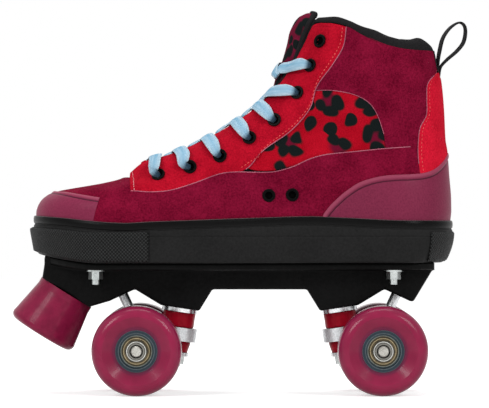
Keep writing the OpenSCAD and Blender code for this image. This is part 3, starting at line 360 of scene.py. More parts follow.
# Crossed threads on the cloth's own UV map, for knit, webbing and lace
weave, weave_in, weave_out = new_group(
    "weave", {"Vector": ("Vector", None), "Across": ("Float", 1000.0), "Along": ("Float", 1000.0)},
    ["Tone", "Height"],
)
threads = add(weave, "SeparateXYZ", {0: weave_in["Vector"]}).outputs
warp, weft = (
    math_node(weave, "SINE", math_node(weave, "MULTIPLY", threads[axis], weave_in[way]))
    for axis, way in (("X", "Across"), ("Y", "Along"))
)
height = rescale(weave, math_node(weave, "MULTIPLY", warp, weft), low=-1.0)
fluff = add(weave, "TexNoise", {"Vector": weave_in["Vector"], "Scale": 400.0, "Detail": 3.0}).outputs[0]
tone = math_node(weave, "MULTIPLY", math_node(weave, "ADD", height, fluff), 0.5)
feed(weave, weave_out, Tone=tone, Height=height)


def new_finish(name, **values):
    """A material with one Principled shader and the sockets that stay the same all over it."""
    finish = bpy.data.materials.new(name)
    finish.use_nodes = True
    tree = finish.node_tree
    shader = tree.nodes["Principled BSDF"]
    for key, value in values.items():
        shader.inputs[key.replace("_", " ")].default_value = value
    return finish, tree, shader


def mix_colours(tree, factor, a, b):
    inputs = {0: factor}
    for key, colour in ((6, a), (7, b)):
        inputs[key] = colour if isinstance(colour, bpy.types.NodeSocket) else (*colour, 1)
    return add(tree, "Mix", inputs, data_type="RGBA").outputs[2]


def dress(tree, shader, colour, rough, height, depth):
    """Links a finish's colour, its roughness as (mask, low, high) and its bump, if any, to the shader."""
    tree.links.new(colour, shader.inputs["Base Color"])
    mask, low, high = rough
    tree.links.new(rescale(tree, mask, start=low, end=high), shader.inputs["Roughness"])
    if depth:
        bump = add(tree, "Bump", {"Height": height, "Distance": depth})
        tree.links.new(bump.outputs[0], shader.inputs["Normal"])


def object_place(tree):
    return add(tree, "TexCoord").outputs["Object"]


def cloth_place(tree):
    return add(tree, "TexCoord").outputs["UV"]


def woven(name, dark, light, across, along, depth=0.0002):
    """Cloth of crossed threads on the piece's UV map, which is in metres."""
    finish, tree, shader = new_finish(name, Specular_IOR_Level=0.05)
    counts = {"Vector": cloth_place(tree), "Across": across, "Along": along}
    cloth = add(tree, "Group", counts, node_tree=weave).outputs
    colour = mix_colours(tree, cloth["Tone"], dark, light)
    dress(tree, shader, colour, (cloth["Tone"], 0.93, 0.77), cloth["Height"], depth)
    return finish


def fit(piece, node=None):
    """Fixes a piece to the boot and the CAD node that it stands for, if any."""
    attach(piece, "boot_and_plate")
    if node:
        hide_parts(node)


knit_finish = woven("black_knit", (0.004, 0.004, 0.0045), (0.02, 0.019, 0.02), 5000, 5000)
liner_columns, liner_rows = 70, 76
liner_front_top, liner_rear_top, throat_low = 155, 136, 57
seam_u, level_share, under_collar = 0.002, 0.7, 0.4


def liner_place(side):
    """The inner face of one half: level rows, which bend to the collar's line near the top."""
    def place(s, v):
        front_z, rear_z = mix(board_z, liner_front_top, v), mix(board_z, liner_rear_top, v)
        front_u = np.where(front_z < throat_low, seam_u, throat_u(front_z))
        u, level = mix(front_u, 1 - seam_u, s), mix(front_z, rear_z, s)
        x = form(u, level)[:, 0]
        bend = ease((v - level_share) / (1 - level_share))
        z = mix(level, edge_z(x) - under_collar, bend)
        return on_boot(side * u, z, liner_in - padding(x, z))
    return place


for side, node in ((1, "liner_right"), (-1, "liner_left")):
    bm = bmesh.new()
    lay_grid(bm, liner_columns, liner_rows, liner_place(side), turn=side < 0, size=(0.3, 0.15))
    fit(thicken(make_piece(node + "_knit", bm, knit_finish), liner_out - liner_in), node)

# The upper's panels: cut skins laid over the lining and sewn along their edges, each running on under
# the one that is sewn over it. Each is a grid between side-view lines, in millimetres.
tuck = 20.6
seam = 0.5
under = 2.2
toe_seam = [(-119.2, 46.2), (-112, 45.6), (-102, 44), (-89.5, 42)]
toe_rear = [(-94, tuck), (-93, 30), (-89.5, 42)]
band_top = [
    (-89.5, 42), (-80, 45.2), (-70, 46.3), (-57, 45.6), (-44, 46.8), (-29, 51.4), (-14, 57), (-3, 58.6),
    (10, 58.4), (22, 58.8), (34, 62), (45, 67), (56, 70), (75, 72), (95, 74), (114.5, 75.4),
]
stay_heights = np.array([58, 65, 67.5, 69.8, 74.6, 83, 92.6, 101, 111, 122, 131, 140, 148, 155.5])
stay_rear = [
    (-70, 46.8), (-57, 46.2), (-50.5, 46.8), (-44, 47.4), (-29, 52.1), (-12, 58), (4, 60.5), (15.5, 73),
    (33, 85.5), (45, 99.5), (50, 114), (60, 128), (67, 140), (69, 152.5),
]
arch_line = [
    (50, 111.4), (58, 111.6), (66, 110.6), (74.7, 108.5), (83.3, 103.7), (88.6, 96.3), (92.8, 84.6),
    (95, 74.6),
]
strip_front = [
    (116.6, 59), (115.2, 68), (115.2, 78), (116.5, 87.5), (120.6, 96), (120.8, 106), (121.4, 116),
    (127.2, 123),
]
counter_top = [
    (52, tuck), (53.4, 30), (57, 35.6), (62, 40.8), (68.3, 46.2), (76.8, 51.6), (87.5, 55.2), (100, 56.8),
    (111, 57.2), (119, 58.2), (125, 60.4), (129.4, 63.8), (132.4, 67.2), (134.2, 70), (134.85, 71.4),
]
eyelet_spots = [
    (-52, 56.3), (-32.2, 61.8), (-12.9, 69.2), (6.4, 80.6), (22.6, 92.2), (37.5, 109.8), (46.1, 127.5),
    (52.7, 143.3),
]
vent_spots = [(18.7, 43.6), (33.9, 44)]
eyelet_room = 3.3


def line_at(points, t):
    """Places on a smooth line through points, with t from 0 at the first to 1 at the last."""
    p = np.array(points, float)
    n = len(p) - 1
    i = np.clip(np.floor(t * n).astype(int), 0, n - 1)
    s = (t * n - i)[..., None]
    a, b, c, d = p[np.maximum(i - 1, 0)], p[i], p[i + 1], p[np.minimum(i + 2, n)]
    return b + s * ((c - a) / 2 + s * ((a - 2.5 * b + 2 * c - 0.5 * d) + s * (1.5 * (b - c) + (d - a) / 2)))


def shift(line, dx, dz):
    return [(x + dx, z + dz) for x, z in line]


def spot(points):
    return np.stack([u_of(points[..., 0], points[..., 1]), points[..., 1]], -1)


def between(low, high):
    """A grid ruled from one side-view line to another."""
    def grid(s, v):
        at = mix(spot(line_at(low, s)), spot(line_at(high, s)), v[..., None])
        return at[..., 0], at[..., 1]
    return grid


def patch(bottom, top, front, rear):
    """A grid inside four side-view lines."""
    corners = [spot(np.array(p, float)) for p in (bottom[0], bottom[-1], top[0], top[-1])]

    def grid(s, v):
        along, up = s[..., None], v[..., None]
        sides = mix(spot(line_at(front, v)), spot(line_at(rear, v)), along)
        ends = mix(spot(line_at(bottom, s)), spot(line_at(top, s)), up)
        flat = mix(mix(corners[0], corners[1], along), mix(corners[2], corners[3], along), up)
        at = sides + ends - flat
        return at[..., 0], at[..., 1]
    return grid


def round_toe(grid):
    """Carries a grid of the right side round the toe to the left."""
    def whole(s, v):
        u, z = grid(np.abs(2 * s - 1), v)
        return np.sign(2 * s - 1) * u, z
    return whole


def round_heel(grid):
    def whole(s, v):
        u, z = grid(1 - np.abs(2 * s - 1), v)
        return np.where(s < 0.5, u, 2 - u), z
    return whole


def along_edge(edge, t):
    """s and v of places along one edge of a grid."""
    return {"front": (0 * t, t), "rear": (0 * t + 1, t), "bottom": (t, 0 * t), "top": (t, 0 * t + 1)}[edge]


def inset(grid, s, v, edges):
    """Distance of each place from the nearest of a grid's edges, in millimetres."""
    here = form(*grid(s, v))
    t = np.linspace(0, 1, 240)
    line = np.concatenate([form(*grid(*along_edge(edge, t))) for edge in edges])
    parts = np.array_split(here, len(here) // 500 + 1)
    return np.concatenate([np.linalg.norm(part[:, None] - line, axis=-1).min(1) for part in parts])


stitch_in, dent_w, swell_l = 2.6, 0.8, 5


def sewn_edge(grid, edges, puff=0.35, dent=0.3):
    """The relief of a sewn panel: it sinks at the row of stitches and swells behind it."""
    def relief(s, v):
        d = inset(grid, s, v, edges)
        return puff * (1 - np.exp(-d / swell_l)) - dent * np.exp(-(((d - stitch_in) / dent_w) ** 2))
    return relief


def skin_at(x, z, side, lift):
    """One place on a side of the boot, in metres, and the outward direction there."""
    u, z = side * u_of(np.array([x]), np.array([z])), np.array([z])
    return Vector(on_boot(u, z, lift)[0] * mm), Vector(outward(u, z)[0])


def sew_panel(
    node, skin, finishes, grid, columns, rows, outer, deep, relief, edges, sides=(1, -1), holes=()
):
    """A skin on one or both sides between two distances from the form, with room punched for its eyelets.
    Each point keeps its distance from the named edges, for the finish."""
    def marks(s, v):
        return inset(grid, s, v, edges)

    bm = bmesh.new()
    bm.verts.layers.float.new("edge")
    for side in sides:
        def place(s, v):
            u, z = grid(s, v)
            return on_boot(side * u, z, outer + relief(s, v))
        lay_grid(bm, columns, rows, place, turn=side > 0, size=(0.2, 0.2), marks=marks)
        for x, z in holes:
            middle = skin_at(x, z, side, outer)[0]
            punched = [f for f in bm.faces if (f.calc_center_median() - middle).length < eyelet_room * mm]
            bmesh.ops.delete(bm, geom=punched, context="FACES")
    panel = make_piece(node + "_" + skin, bm, *finishes)
    fit(thicken(panel, outer - deep, rim_finish=len(finishes) - 1), node)


def grained(name, colours, rough, scale, drift, depth=None, **sockets):
    """A finish whose colours, roughness and bump follow the grain, from its low tones to its high ones.
    Colours that need more than the grain come as a function of the shader's tree and the grain's tone."""
    finish, tree, shader = new_finish(name, **sockets)
    sizes = {"Vector": object_place(tree), "Scale": scale, "Drift": drift}
    skin = add(tree, "Group", sizes, node_tree=grain).outputs
    tone = skin["Tone"]
    colour = colours(tree, tone) if callable(colours) else mix_colours(tree, tone, *colours)
    dress(tree, shader, colour, (tone, *rough), skin["Height"], depth)
    return finish, tree, shader


def paint_over(tree, shader, mask, colour):
    """Lays a colour over a finish where a mask says."""
    ground = shader.inputs["Base Color"].links[0].from_socket
    tree.links.new(mix_colours(tree, mask, ground, colour), shader.inputs["Base Color"])


def suede(name, dark, light):
    """Brushed skin: a short nap that lies this way and that, with no shine."""
    return grained(name, (dark, light), (0.98, 0.82), 900, 70, 0.0004, Specular_IOR_Level=0.03)[0]


def smooth_leather(name, dark, light, lip, lip_width):
    """Coated leather: a tight, semi-matt grain, a painted highlight on its lip and painted shade in the line
    inside it.
    """
    finish, tree, shader = grained(
        name, (dark, light), (0.52, 0.4), 900, 25, 0.00008, Specular_IOR_Level=0.1)
    edge = add(tree, "Attribute", attribute_name="edge").outputs["Fac"]
    # Painted highlight: the lip is painted paler, fading out over its inner half
    paint_over(tree, shader, rescale(tree, edge, 0.5 * lip_width, lip_width, 0.75, 0.0), lip)
    # Painted shade: a dark line just inside the lip, along the pressed crease
    off_line = math_node(tree, "ABSOLUTE", math_node(tree, "SUBTRACT", edge, lip_width + 0.5))
    paint_over(tree, shader, rescale(tree, off_line, 0.1, 0.6, 0.9, 0.0), (0.03, 0.002, 0.01))
    return finish


burgundy_suede = suede("burgundy_suede", (0.09, 0.001, 0.011), (0.21, 0.005, 0.029))
red_suede = suede("red_suede", (0.25, 0.002, 0.01), (0.45, 0.005, 0.02))
heel_red = suede("heel_red_suede", (0.38, 0.004, 0.016), (0.62, 0.01, 0.032))
cut_edge = suede("cut_edge", (0.26, 0.05, 0.09), (0.44, 0.14, 0.19))
red_cut_edge = suede("red_cut_edge", (0.3, 0.01, 0.025), (0.5, 0.05, 0.07))

# The toe cap: one piece of smooth coated leather, drawn round the toe of the last and sewn to the vamp
# and the side bands, with a turned lip along its seam.
toe_flat = patch(
    [(-132, tuck), (-128, tuck), (-114, tuck), (-94 - seam, tuck)], shift(toe_seam, -1.2, -seam),
    [(-140, tuck), (-140, 34), (-140, 45.6)], shift(toe_rear, -seam, 0),
)
lip_w, lip_h = 2.4, 0.5
crease_gap, crease_w, crease_deep = 0.6, 0.6, 0.5
dome, dome_l = 0.25, 8
mauve_leather = smooth_leather(
    "mauve_leather", (0.15, 0.013, 0.042), (0.21, 0.022, 0.06), (0.28, 0.052, 0.092), lip_w)


def turned_lip(grid, edges, width, rise):
    """A folded lip along some edges of a panel, with the pressed line beside it."""
    def relief(s, v):
        d = inset(grid, s, v, edges)
        lip = rise * np.sqrt(np.clip(1 - (2 * d / width - 1) ** 2, 0, 1))
        crease = crease_deep * rise * np.exp(-(((d - width - crease_gap) / crease_w) ** 2))
        return lip - crease + dome * (1 - np.exp(-d / dome_l))
    return relief


toe_grid = round_toe(toe_flat)
sew_panel(
    "toe_cap", "leather", [mauve_leather], toe_grid, 200, 48, raised_out, panel_in,
    turned_lip(toe_grid, ["top"], lip_w, lip_h), ["top"], sides=(1,),
)

# The vamp: burgundy suede over the instep, from the toe cap's seam to the foot of the lacing. It is cut
# in one piece and runs on under the toe cap, the side bands and the eyestays.
vamp_front = [(-121, 45.8), (-113.4, 45.1), (-103.4, 43.2), (-91, 39.8)]
vamp_rear = [(-76, 55.4), (-71.8, 55.4), (-69.4, 53.6), (-68.4, 50.2), (-68, 45)]
vamp_grid = round_toe(between(vamp_front, vamp_rear))
sew_panel(
    "vamp", "suede", [burgundy_suede, cut_edge], vamp_grid, 110, 50, panel_out - 0.2,
    panel_in, sewn_edge(vamp_grid, ["top"], dent=0), ["top"], sides=(1,),
)

# The side bands: a long strip of burgundy suede each side, from the toe cap to the heel counter. Its
# upper edge is sewn over the other panels, and two vents are punched through it.
band_bottom = [(x, tuck) for x in range(-95, 51, 11)] + shift(counter_top[:10], 1.5, -1.5)
band_rear = [band_bottom[-1], (119.5, 66), (118.5, 75.6)]
band_line = band_top[:-1] + [band_rear[-1]]
band_grid = patch(band_bottom, band_line, shift(toe_rear, -under, 0)[:2] + [band_top[0]], band_rear)
band_sewn = sewn_edge(band_grid, ["top"], dent=0.15)
band_over, band_over_l, dip_from, dip_l = 0.8, 4, 3.5, 6


def band_relief(s, v):
    """The band's upper edge rides over the panels that it is sewn to, and dips under the heel strip."""
    over = ease((inset(band_grid, s, v, ["rear"]) - dip_from) / dip_l)
    return band_sewn(s, v) + band_over * over * np.exp(-inset(band_grid, s, v, ["top"]) / band_over_l)


sew_panel(
    "side_bands", "suede", [burgundy_suede, cut_edge], band_grid, 210, 34, panel_out, -0.2,
    band_relief, ["top"], holes=vent_spots,
)

# The side panels: napped print cloth under the ankle's arch, red with dark rosettes, held all round by
# the panels that are sewn over its edges.
side_in = 1.2
side_rear = [(97, 72), (97, 73.4), (97, 74.6)]
side_front = shift(stay_rear[6:11], -side_in, under)
side_bottom = shift(stay_rear[6:7], -side_in, -under) + shift(band_top[8:14], 0, -under) + side_rear[:1]
side_top = side_front[-1:] + shift(arch_line[1:7], 1, 1.4) + side_rear[-1:]
side_grid = patch(side_bottom, side_top, side_front, side_rear)
rosette_pitch, rosette_stray, dot_stray = 0.0262, 0.45, 0.7
# Bearing and radius of the blots round the heart of a rosette, and the chance that says whether one is there
blot_out = 0.25
blots = [(0, 0.175, None), (72, 0.165, None), (144, 0.17, "Green"), (250, 0.165, "Blue")]


def vector_node(tree, operation, a, b=(0, 0, 0)):
    """The outputs of a step of vector arithmetic, with b as the factor where it scales."""
    second = "Scale" if operation == "SCALE" else 1
    return add(tree, "VectorMath", {0: a, second: b}, operation=operation).outputs


# Rosettes of an animal print: dark blots round a warm heart, turned by chance, each in its own cell
rosettes, print_in, print_out = new_group(
    "rosettes", {"Vector": ("Vector", None), "Pitch": ("Float", rosette_pitch)}, ["Ring", "Heart"]
)


def cells(place, stray):
    """The cells of the cloth round points that stray by chance from a square grid."""
    inputs = {"Vector": place, "Scale": 1.0, "Randomness": stray}
    return add(rosettes, "TexVoronoi", inputs, voronoi_dimensions="2D").outputs


wander = add(rosettes, "TexNoise", {"Vector": print_in["Vector"], "Scale": 75.0, "Detail": 0.0})
offset = vector_node(rosettes, "SUBTRACT", wander.outputs["Color"], (0.5, 0.5, 0.5))[0]
moved = vector_node(rosettes, "SCALE", offset, 0.008)[0]
cloth = vector_node(rosettes, "ADD", print_in["Vector"], moved)[0]
cells_per_m = math_node(rosettes, "DIVIDE", 1.0, print_in["Pitch"])
scaled = vector_node(rosettes, "SCALE", cloth, cells_per_m)[0]
cell = cells(scaled, rosette_stray)
chance = add(rosettes, "SeparateColor", {0: cell["Color"]}).outputs
from_heart = vector_node(rosettes, "SUBTRACT", scaled, cell["Position"])[0]
flat_on_cloth = vector_node(rosettes, "MULTIPLY", from_heart, (1, 1, 0))[0]
turn_by = math_node(rosettes, "MULTIPLY", chance["Red"], 2 * math.pi)
turned = add(rosettes, "VectorRotate", {"Vector": flat_on_cloth, "Angle": turn_by}, rotation_type="Z_AXIS")
blotch = 1.0
for bearing, radius, odds in blots:
    middle = (blot_out * math.cos(math.radians(bearing)), blot_out * math.sin(math.radians(bearing)), 0)
    away = vector_node(rosettes, "DISTANCE", turned.outputs[0], middle)["Value"]
    past = math_node(rosettes, "SUBTRACT", away, radius)
    if odds:
        past = math_node(rosettes, "ADD", past, math_node(rosettes, "LESS_THAN", chance[odds], 0.35))
    blotch = add(rosettes, "Math", {0: blotch, 1: past, 2: 0.1}, operation="SMOOTH_MIN").outputs[0]
# Round spots in the room that the rosettes leave: a spot shows where its own middle is clear of them
dots = cells(vector_node(rosettes, "SCALE", scaled, 2.0)[0], dot_stray)
dot_middle = vector_node(rosettes, "SCALE", dots["Position"], 0.5)[0]
clear = math_node(rosettes, "GREATER_THAN", cells(dot_middle, rosette_stray)["Distance"], 0.5)
dot = math_node(rosettes, "MULTIPLY", rescale(rosettes, dots["Distance"], 0.34, 0.39, 1.0, 0.0), clear)
ring = math_node(rosettes, "MAXIMUM", rescale(rosettes, blotch, -0.02, 0.025, 1.0, 0.0), dot)
heart = rescale(rosettes, cell["Distance"], 0.16, 0.26, 0.9, 0.0)
feed(rosettes, print_out, Ring=ring, Heart=heart)


def print_cloth(name, dark, light, flat_on_side):
    """Napped print cloth: the side panels take their print from the side, the tongue from its own UV map."""
    finish, tree, shader = grained(
        name, (dark, light), (0.95, 0.8), 1300, 80, 0.0003, Specular_IOR_Level=0.03)
    if flat_on_side:
        on_side = add(tree, "SeparateXYZ", {0: object_place(tree)}).outputs
        print_place = add(tree, "CombineXYZ", {"X": on_side["X"], "Y": on_side["Z"]}).outputs[0]
    else:
        print_place = cloth_place(tree)
    marks = add(tree, "Group", {"Vector": print_place, "Pitch": rosette_pitch}, node_tree=rosettes).outputs
    paint_over(tree, shader, marks["Heart"], (0.1, 0.004, 0.02))
    paint_over(tree, shader, marks["Ring"], (0.006, 0.009, 0.009))
    return finish


leopard = print_cloth("leopard_cloth", (0.26, 0.001, 0.007), (0.42, 0.004, 0.016), True)
side_edges = ["bottom", "front", "top"]
sew_panel(
    "side_panels", "cloth", [leopard], side_grid, 90, 56, panel_out - 0.5, panel_in,
    sewn_edge(side_grid, side_edges, puff=0.2, dent=0), side_edges,
)

# The ankle panels: burgundy suede from the arch up to the collar, over the padding, with their front and
# rear edges under the eyestays and the heel strip.
back_seam_u = 0.994
ankle_bottom = shift(arch_line[:1], -1.6, 0) + arch_line[1:7] + [(95.5, 73), (106, 73.4), (117.2, 73.8)]
ankle_top = shift(collar_line[2:], 0, 1)
ankle_front = ankle_bottom[:1] + shift(stay_rear[11:13], -under, 0) + ankle_top[:1]
ankle_back = [(127.5, 124), (129.6, 130), (129.6, 137.6)]
ankle_rear = ankle_bottom[-1:] + shift(strip_front[3:7], under, 0) + ankle_back
ankle_flat = patch(ankle_bottom, ankle_top, ankle_front, ankle_rear)


def ankle_grid(s, v):
    u, z = ankle_flat(s, v)
    return np.minimum(u, back_seam_u), z


sew_panel(
    "ankle_panels", "suede", [burgundy_suede, cut_edge], ankle_grid, 96, 80, panel_out,
    panel_in + 1, sewn_edge(ankle_grid, ["bottom", "front"], puff=0.5, dent=0.1), ["bottom", "front"],
)

# The eyestays: bright red suede straps along the lacing, cut double, with a rounded top corner, and sewn
# over the other panels.
stay_front = list(zip(side_x(stay_heights, throat_half), stay_heights))
stay_back = shift(stay_rear[:6], 0, -under) + stay_rear[6:]
stay_low = [stay_front[0], (-71.2, 54.6), (-70.8, 51), (-70.4, 47.8), stay_back[0]]
stay_square = patch(stay_low, [stay_front[-1], (60, 154.8), stay_back[-1]], stay_front, stay_back)
corner_from, corner_cut = 0.95, 0.24


def stay_grid(s, v):
    """The strap's top front corner is rounded."""
    bend = np.clip((v - corner_from) / (1 - corner_from), 0, 1)
    return stay_square(mix(corner_cut * (1 - np.sqrt(1 - bend ** 2)), 1, s), v)


stay_edges = ["front", "rear", "bottom", "top"]
sew_panel(
    "eyestays", "suede", [red_suede, red_cut_edge], stay_grid, 34, 230, raised_out,
    panel_out - 0.1, sewn_edge(stay_grid, stay_edges, puff=0.15, dent=0.2), stay_edges, holes=eyelet_spots,
)

# The heel strip: bright red suede up the back seam, from the heel counter to the pull loop, sewn down
# both sides.
strip_flat = patch(
    shift([(116.6, 58), (123.6, 60.4), (129.4, 64.6), (133, 68.8), (134.95, 72)], 0, -under),
    [(127.2, 122.8), (128, 123.2), (128.7, 123.4), (129.2, 123.4), (129.5, 123.4)],
    [(116.6, 58 - under)] + strip_front[1:], [(140, 72 - under), (140, 98), (140, 123.4)],
)
strip_grid = round_heel(strip_flat)
strip_edges = ["front", "rear", "top"]
sew_panel(
    "heel_strip", "suede", [heel_red, red_cut_edge], strip_grid, 70, 66, raised_out + 0.2,
    panel_out, sewn_edge(strip_grid, strip_edges, puff=0.2), strip_edges, sides=(1,),
)

# The heel counter: a stiff cup of smooth coated leather, moulded round the heel and sewn on, with a broad
# turned lip along its top.
counter_lip_w, counter_lip_h = 3.2, 0.7
counter_leather = smooth_leather(
    "counter_leather", (0.13, 0.011, 0.036), (0.185, 0.019, 0.053), (0.27, 0.048, 0.09), counter_lip_w)
counter_low = [
    (mix(counter_top[0][0], float(back_x(tuck)), math.sin(math.radians(a))), tuck) for a in range(0, 91, 9)]
counter_grid = round_heel(between(counter_low, counter_top))
sew_panel(
    "heel_counter", "leather", [counter_leather], counter_grid, 220, 60, raised_out + 0.3,
    panel_in, turned_lip(counter_grid, ["top"], counter_lip_w, counter_lip_h), ["top"], sides=(1,),
)

# The collar: a padded roll of black knit, filled with foam and turned over the lining and the panels
# round the ankle.
collar_rise = [
    (51.5, 4.8), (58, 5), (64, 4.6), (72, 4.3), (78, 5.2), (84, 6.6), (89, 7.5), (98, 7.2), (104, 7.2),
    (109, 7.8), (114, 8.4), (117, 9), (120.5, 9.6), (124, 8.6), (127, 6.4),
]
collar_lift, collar_power = 0.35, 0.7
pucker, puckers = 0.02, 9
shaft_top = 155.5
collar_start = float(throat_u(np.array(shaft_top))) + 0.005


def collar_x(u, z):
    return np.clip(form(u, z)[:, 0], collar_line[0][0], None)


def collar_place(a, s):
    u = mix(collar_start, 2 - collar_start, s)
    x = collar_x(u, edge_z(collar_x(u, shaft_top)))
    z = edge_z(x)
    over = np.pi * np.clip(2 * a, 0, 1)
    across = np.where(a < 0.5, (1 - np.cos(over)) / 2, 2 - 2 * a)
    crown = (curve(collar_rise, x) - collar_lift) * np.sin(over) ** collar_power
    soft = 1 + pucker * np.sin(2 * np.pi * puckers * s) * np.sin(over)
    wide = raised_out - liner_in + padding(x, z)
    return on_boot(u, z + collar_lift + crown * soft, raised_out - wide * across)


def cap_ends(bm):
    """Closes a wrapped grid along its seam and at its ends."""
    close_mesh(bm)
    bmesh.ops.holes_fill(bm, edges=bm.edges, sides=0)
    bmesh.ops.recalc_face_normals(bm, faces=bm.faces)


def rolled(name, finish, columns, rows, place, size):
    """A closed body from a grid that wraps round on itself."""
    bm = bmesh.new()
    lay_grid(bm, columns, rows, place, size=size)
    cap_ends(bm)
    return make_piece(name, bm, finish)


collar = rolled("collar_roll", knit_finish, 32, 220, collar_place, (0.03, 0.35))
fit(collar, "collar")

# The tongue: a padded flap of print cloth with a black bound edge, sewn in at the vamp and pushed
# forward above the lacing.
tongue_front = [
    (54, -7), (98, -6.6), (106, -5.5), (112, -2), (119, 2.2), (126, 4), (132, 5.6), (138, 7.2),
    (147.6, 9.4), (153, 9.2), (156, 8.4), (158.1, 7), (159.8, 6), (161, 4.6),
]
tongue_half_w = [
    (54, 18), (75, 23), (96, 22), (106, 15), (112, 12), (150, 12), (156, 11.4), (159, 9.6), (161, 7.6),
]
tongue_low, tongue_high = 54.0, 161.0
tongue_free_z, tongue_free_l, tongue_bow, tongue_share = 108.0, 10.0, 0.35, 0.96
tongue_t, tongue_tip, tongue_edge_power = 4.5, 0.95, 6
tongue_deep = liner_in - 1.5


def tongue_spot(j, z):
    """u and lift of the tongue's face at j, from -1 to 1 across it, and the height z."""
    u = j * u_of(side_x(z, curve(tongue_half_w, z)), z)
    rise = np.maximum(0, curve(tongue_front, z) - tongue_deep)
    t = u / (throat_u(z) * tongue_share)
    arch = mix(np.maximum(0, 1 - t * t), 1 - tongue_bow * t * t, ease((z - tongue_free_z) / tongue_free_l))
    return u, tongue_deep + rise * arch


def tongue_place(c, v):
    z = mix(tongue_low, tongue_high, v)
    j = np.where(c < 0.5, 4 * c - 1, 3 - 4 * c)
    at_tip = np.clip((v - tongue_tip) / (1 - tongue_tip), 0, 1)
    full = np.sqrt(np.clip(1 - j ** tongue_edge_power, 0, 1)) * np.sqrt(np.clip(1 - at_tip ** 2, 0, 1))
    face = np.where(c < 0.5, 1, -1)
    u, lift = tongue_spot(j, z)
    return on_boot(u, z, lift - tongue_t / 2 * (1 - face * full))


leopard_tongue = print_cloth("leopard_tongue", (0.08, 0.004, 0.014), (0.15, 0.008, 0.03), False)
tongue = rolled("tongue_pad", leopard_tongue, 96, 120, tongue_place, (0.11, 0.15))
fit(tongue, "tongue")

binding_r, binding_low, binding_in, binding_aim = 1.9, 62.0, 0.98, 150


def heading(path, t):
    """The direction of a path at t, from a short step either way."""
    step = 1e-3
    return unit(path(np.clip(t + step, 0, 1)) - path(np.clip(t - step, 0, 1)))


def pipe(name, finish, lines, radius, columns, rows):
    """Tubes along lines, each given by its path in millimetres and the outward direction beside it."""
    bm = bmesh.new()
    for path, out_of in lines:
        def place(a, t):
            ahead = heading(path, t)
            side = unit(np.cross(ahead, out_of(t)))
            turn = 2 * np.pi * a[:, None]
            return path(t) + radius * (np.cos(turn) * side + np.sin(turn) * np.cross(side, ahead))
        lay_grid(bm, columns, rows, place, size=(0.01, 0.3))
    cap_ends(bm)
    fit(make_piece(name, bm, finish))


def binding_path(t):
    """Up one edge of the tongue, over its top and down the other edge."""
    run = 6 * t - 3
    z = np.where(np.abs(run) > 1, mix(binding_low, tongue_high, (3 - np.abs(run)) / 2), tongue_high)
    u, lift = tongue_spot(np.clip(run, -1, 1) * binding_in, z)
    return on_boot(u, z, lift - tongue_t / 2)


def binding_out(t):
    level = binding_aim + 0 * t
    return outward(tongue_spot(np.clip(6 * t - 3, -1, 1) * binding_in, level)[0], level)


pipe("tongue_binding", knit_finish, [(binding_path, binding_out)], binding_r, 12, 300)

edge_roll_r, edge_roll_low, edge_roll_high = 1.6, 116.0, 158.0
edge_roll_share, edge_roll_lift, edge_roll_u, edge_roll_aim = 0.99, -0.3, 0.1, 140


def edge_roll(side):
    """The lining's rolled edge beside the tongue: its path, and the outward direction there."""
    def path(t):
        z = mix(edge_roll_low, edge_roll_high, t)
        return on_boot(side * throat_u(z) * edge_roll_share, z, edge_roll_lift)
    return path, lambda t: outward(side * edge_roll_u + 0 * t, edge_roll_aim + 0 * t)


pipe("lining_edge_roll", knit_finish, [edge_roll(1), edge_roll(-1)], edge_roll_r, 12, 60)

# The pull loop: a length of black webbing folded to a teardrop, with its ends sewn under the top of the
# heel strip. A tape of the same webbing covers the back seam behind it.
loop_path = [
    (129.6, 121.5), (129.5, 126), (129.6, 131.7), (130.6, 138), (132.7, 146.3), (136.6, 152.3),
    (141.3, 156), (144.6, 156.6), (147, 154.3), (147.5, 149.7), (146, 143.4), (141.7, 137.9),
    (135.4, 132.4), (131.3, 127.6), (130.3, 121.5),
]
loop_w, loop_t, loop_twist = 11.0, 1.4, math.radians(8)
webbing = woven("black_webbing", (0.006, 0.006, 0.006), (0.035, 0.034, 0.036), 4000, 2400, depth=0.0003)


def loop_line(t):
    x, z = line_at(loop_path, t).T
    return np.stack([x, 0 * x, z + base], -1)


def flattened(wave, power):
    """A wave with its tops squared off, for the section of a flat band."""
    return np.sign(wave) * np.abs(wave) ** power


def loop_place(a, t):
    """The webbing twists a little, one way on each leg."""
    ahead = heading(loop_line, t)
    out = np.stack([-ahead[:, 2], 0 * t, ahead[:, 0]], -1)
    turn = 2 * np.pi * a
    across = flattened(np.cos(turn), 0.35) * loop_w / 2
    thick = flattened(np.sin(turn), 0.8) * loop_t / 2
    lean = loop_twist * np.sin(2 * np.pi * t)
    lift = thick * np.cos(lean) + across * np.sin(lean)
    wide = across * np.cos(lean) - thick * np.sin(lean)
    return loop_line(t) + lift[:, None] * out + wide[:, None] * np.array([0, 1, 0])


fit(rolled("pull_loop_webbing", webbing, 28, 120, loop_place, (0.024, 0.08)), "pull_loop")

tape_u, tape_low, tape_high, tape_t = 0.05, 121.0, 138.0, 0.7
tape_low_lift, tape_high_lift, tape_ramp = 0.3, 1.1, 4


def tape_place(s, v):
    """From under the heel strip up to the collar."""
    z = mix(tape_low, tape_high, v)
    lift = mix(tape_low_lift, tape_high_lift, ease((z - tape_low) / tape_ramp))
    return on_boot(mix(1 - tape_u, 1 + tape_u, s), z, panel_out + lift)


bm = bmesh.new()
lay_grid(bm, 24, 20, tape_place, turn=True, size=(0.02, 0.02))
fit(thicken(make_piece("back_seam_tape", bm, webbing), tape_t))

# The stitching: rows of thread along the panels' edges, each stitch a short bead pressed into the skin.
# Beside them, the pale core of a skin shows as a thin line along its cut edge.
stitch_pitch, stitch_long, stitch_thick = 2.5, 1.7, 0.6
near_edge = 0.03


def thread(name, dark, light):
    return grained(name, (dark, light), (0.8, 0.6), 2500, 200, 0.0001, Specular_IOR_Level=0.3)[0]


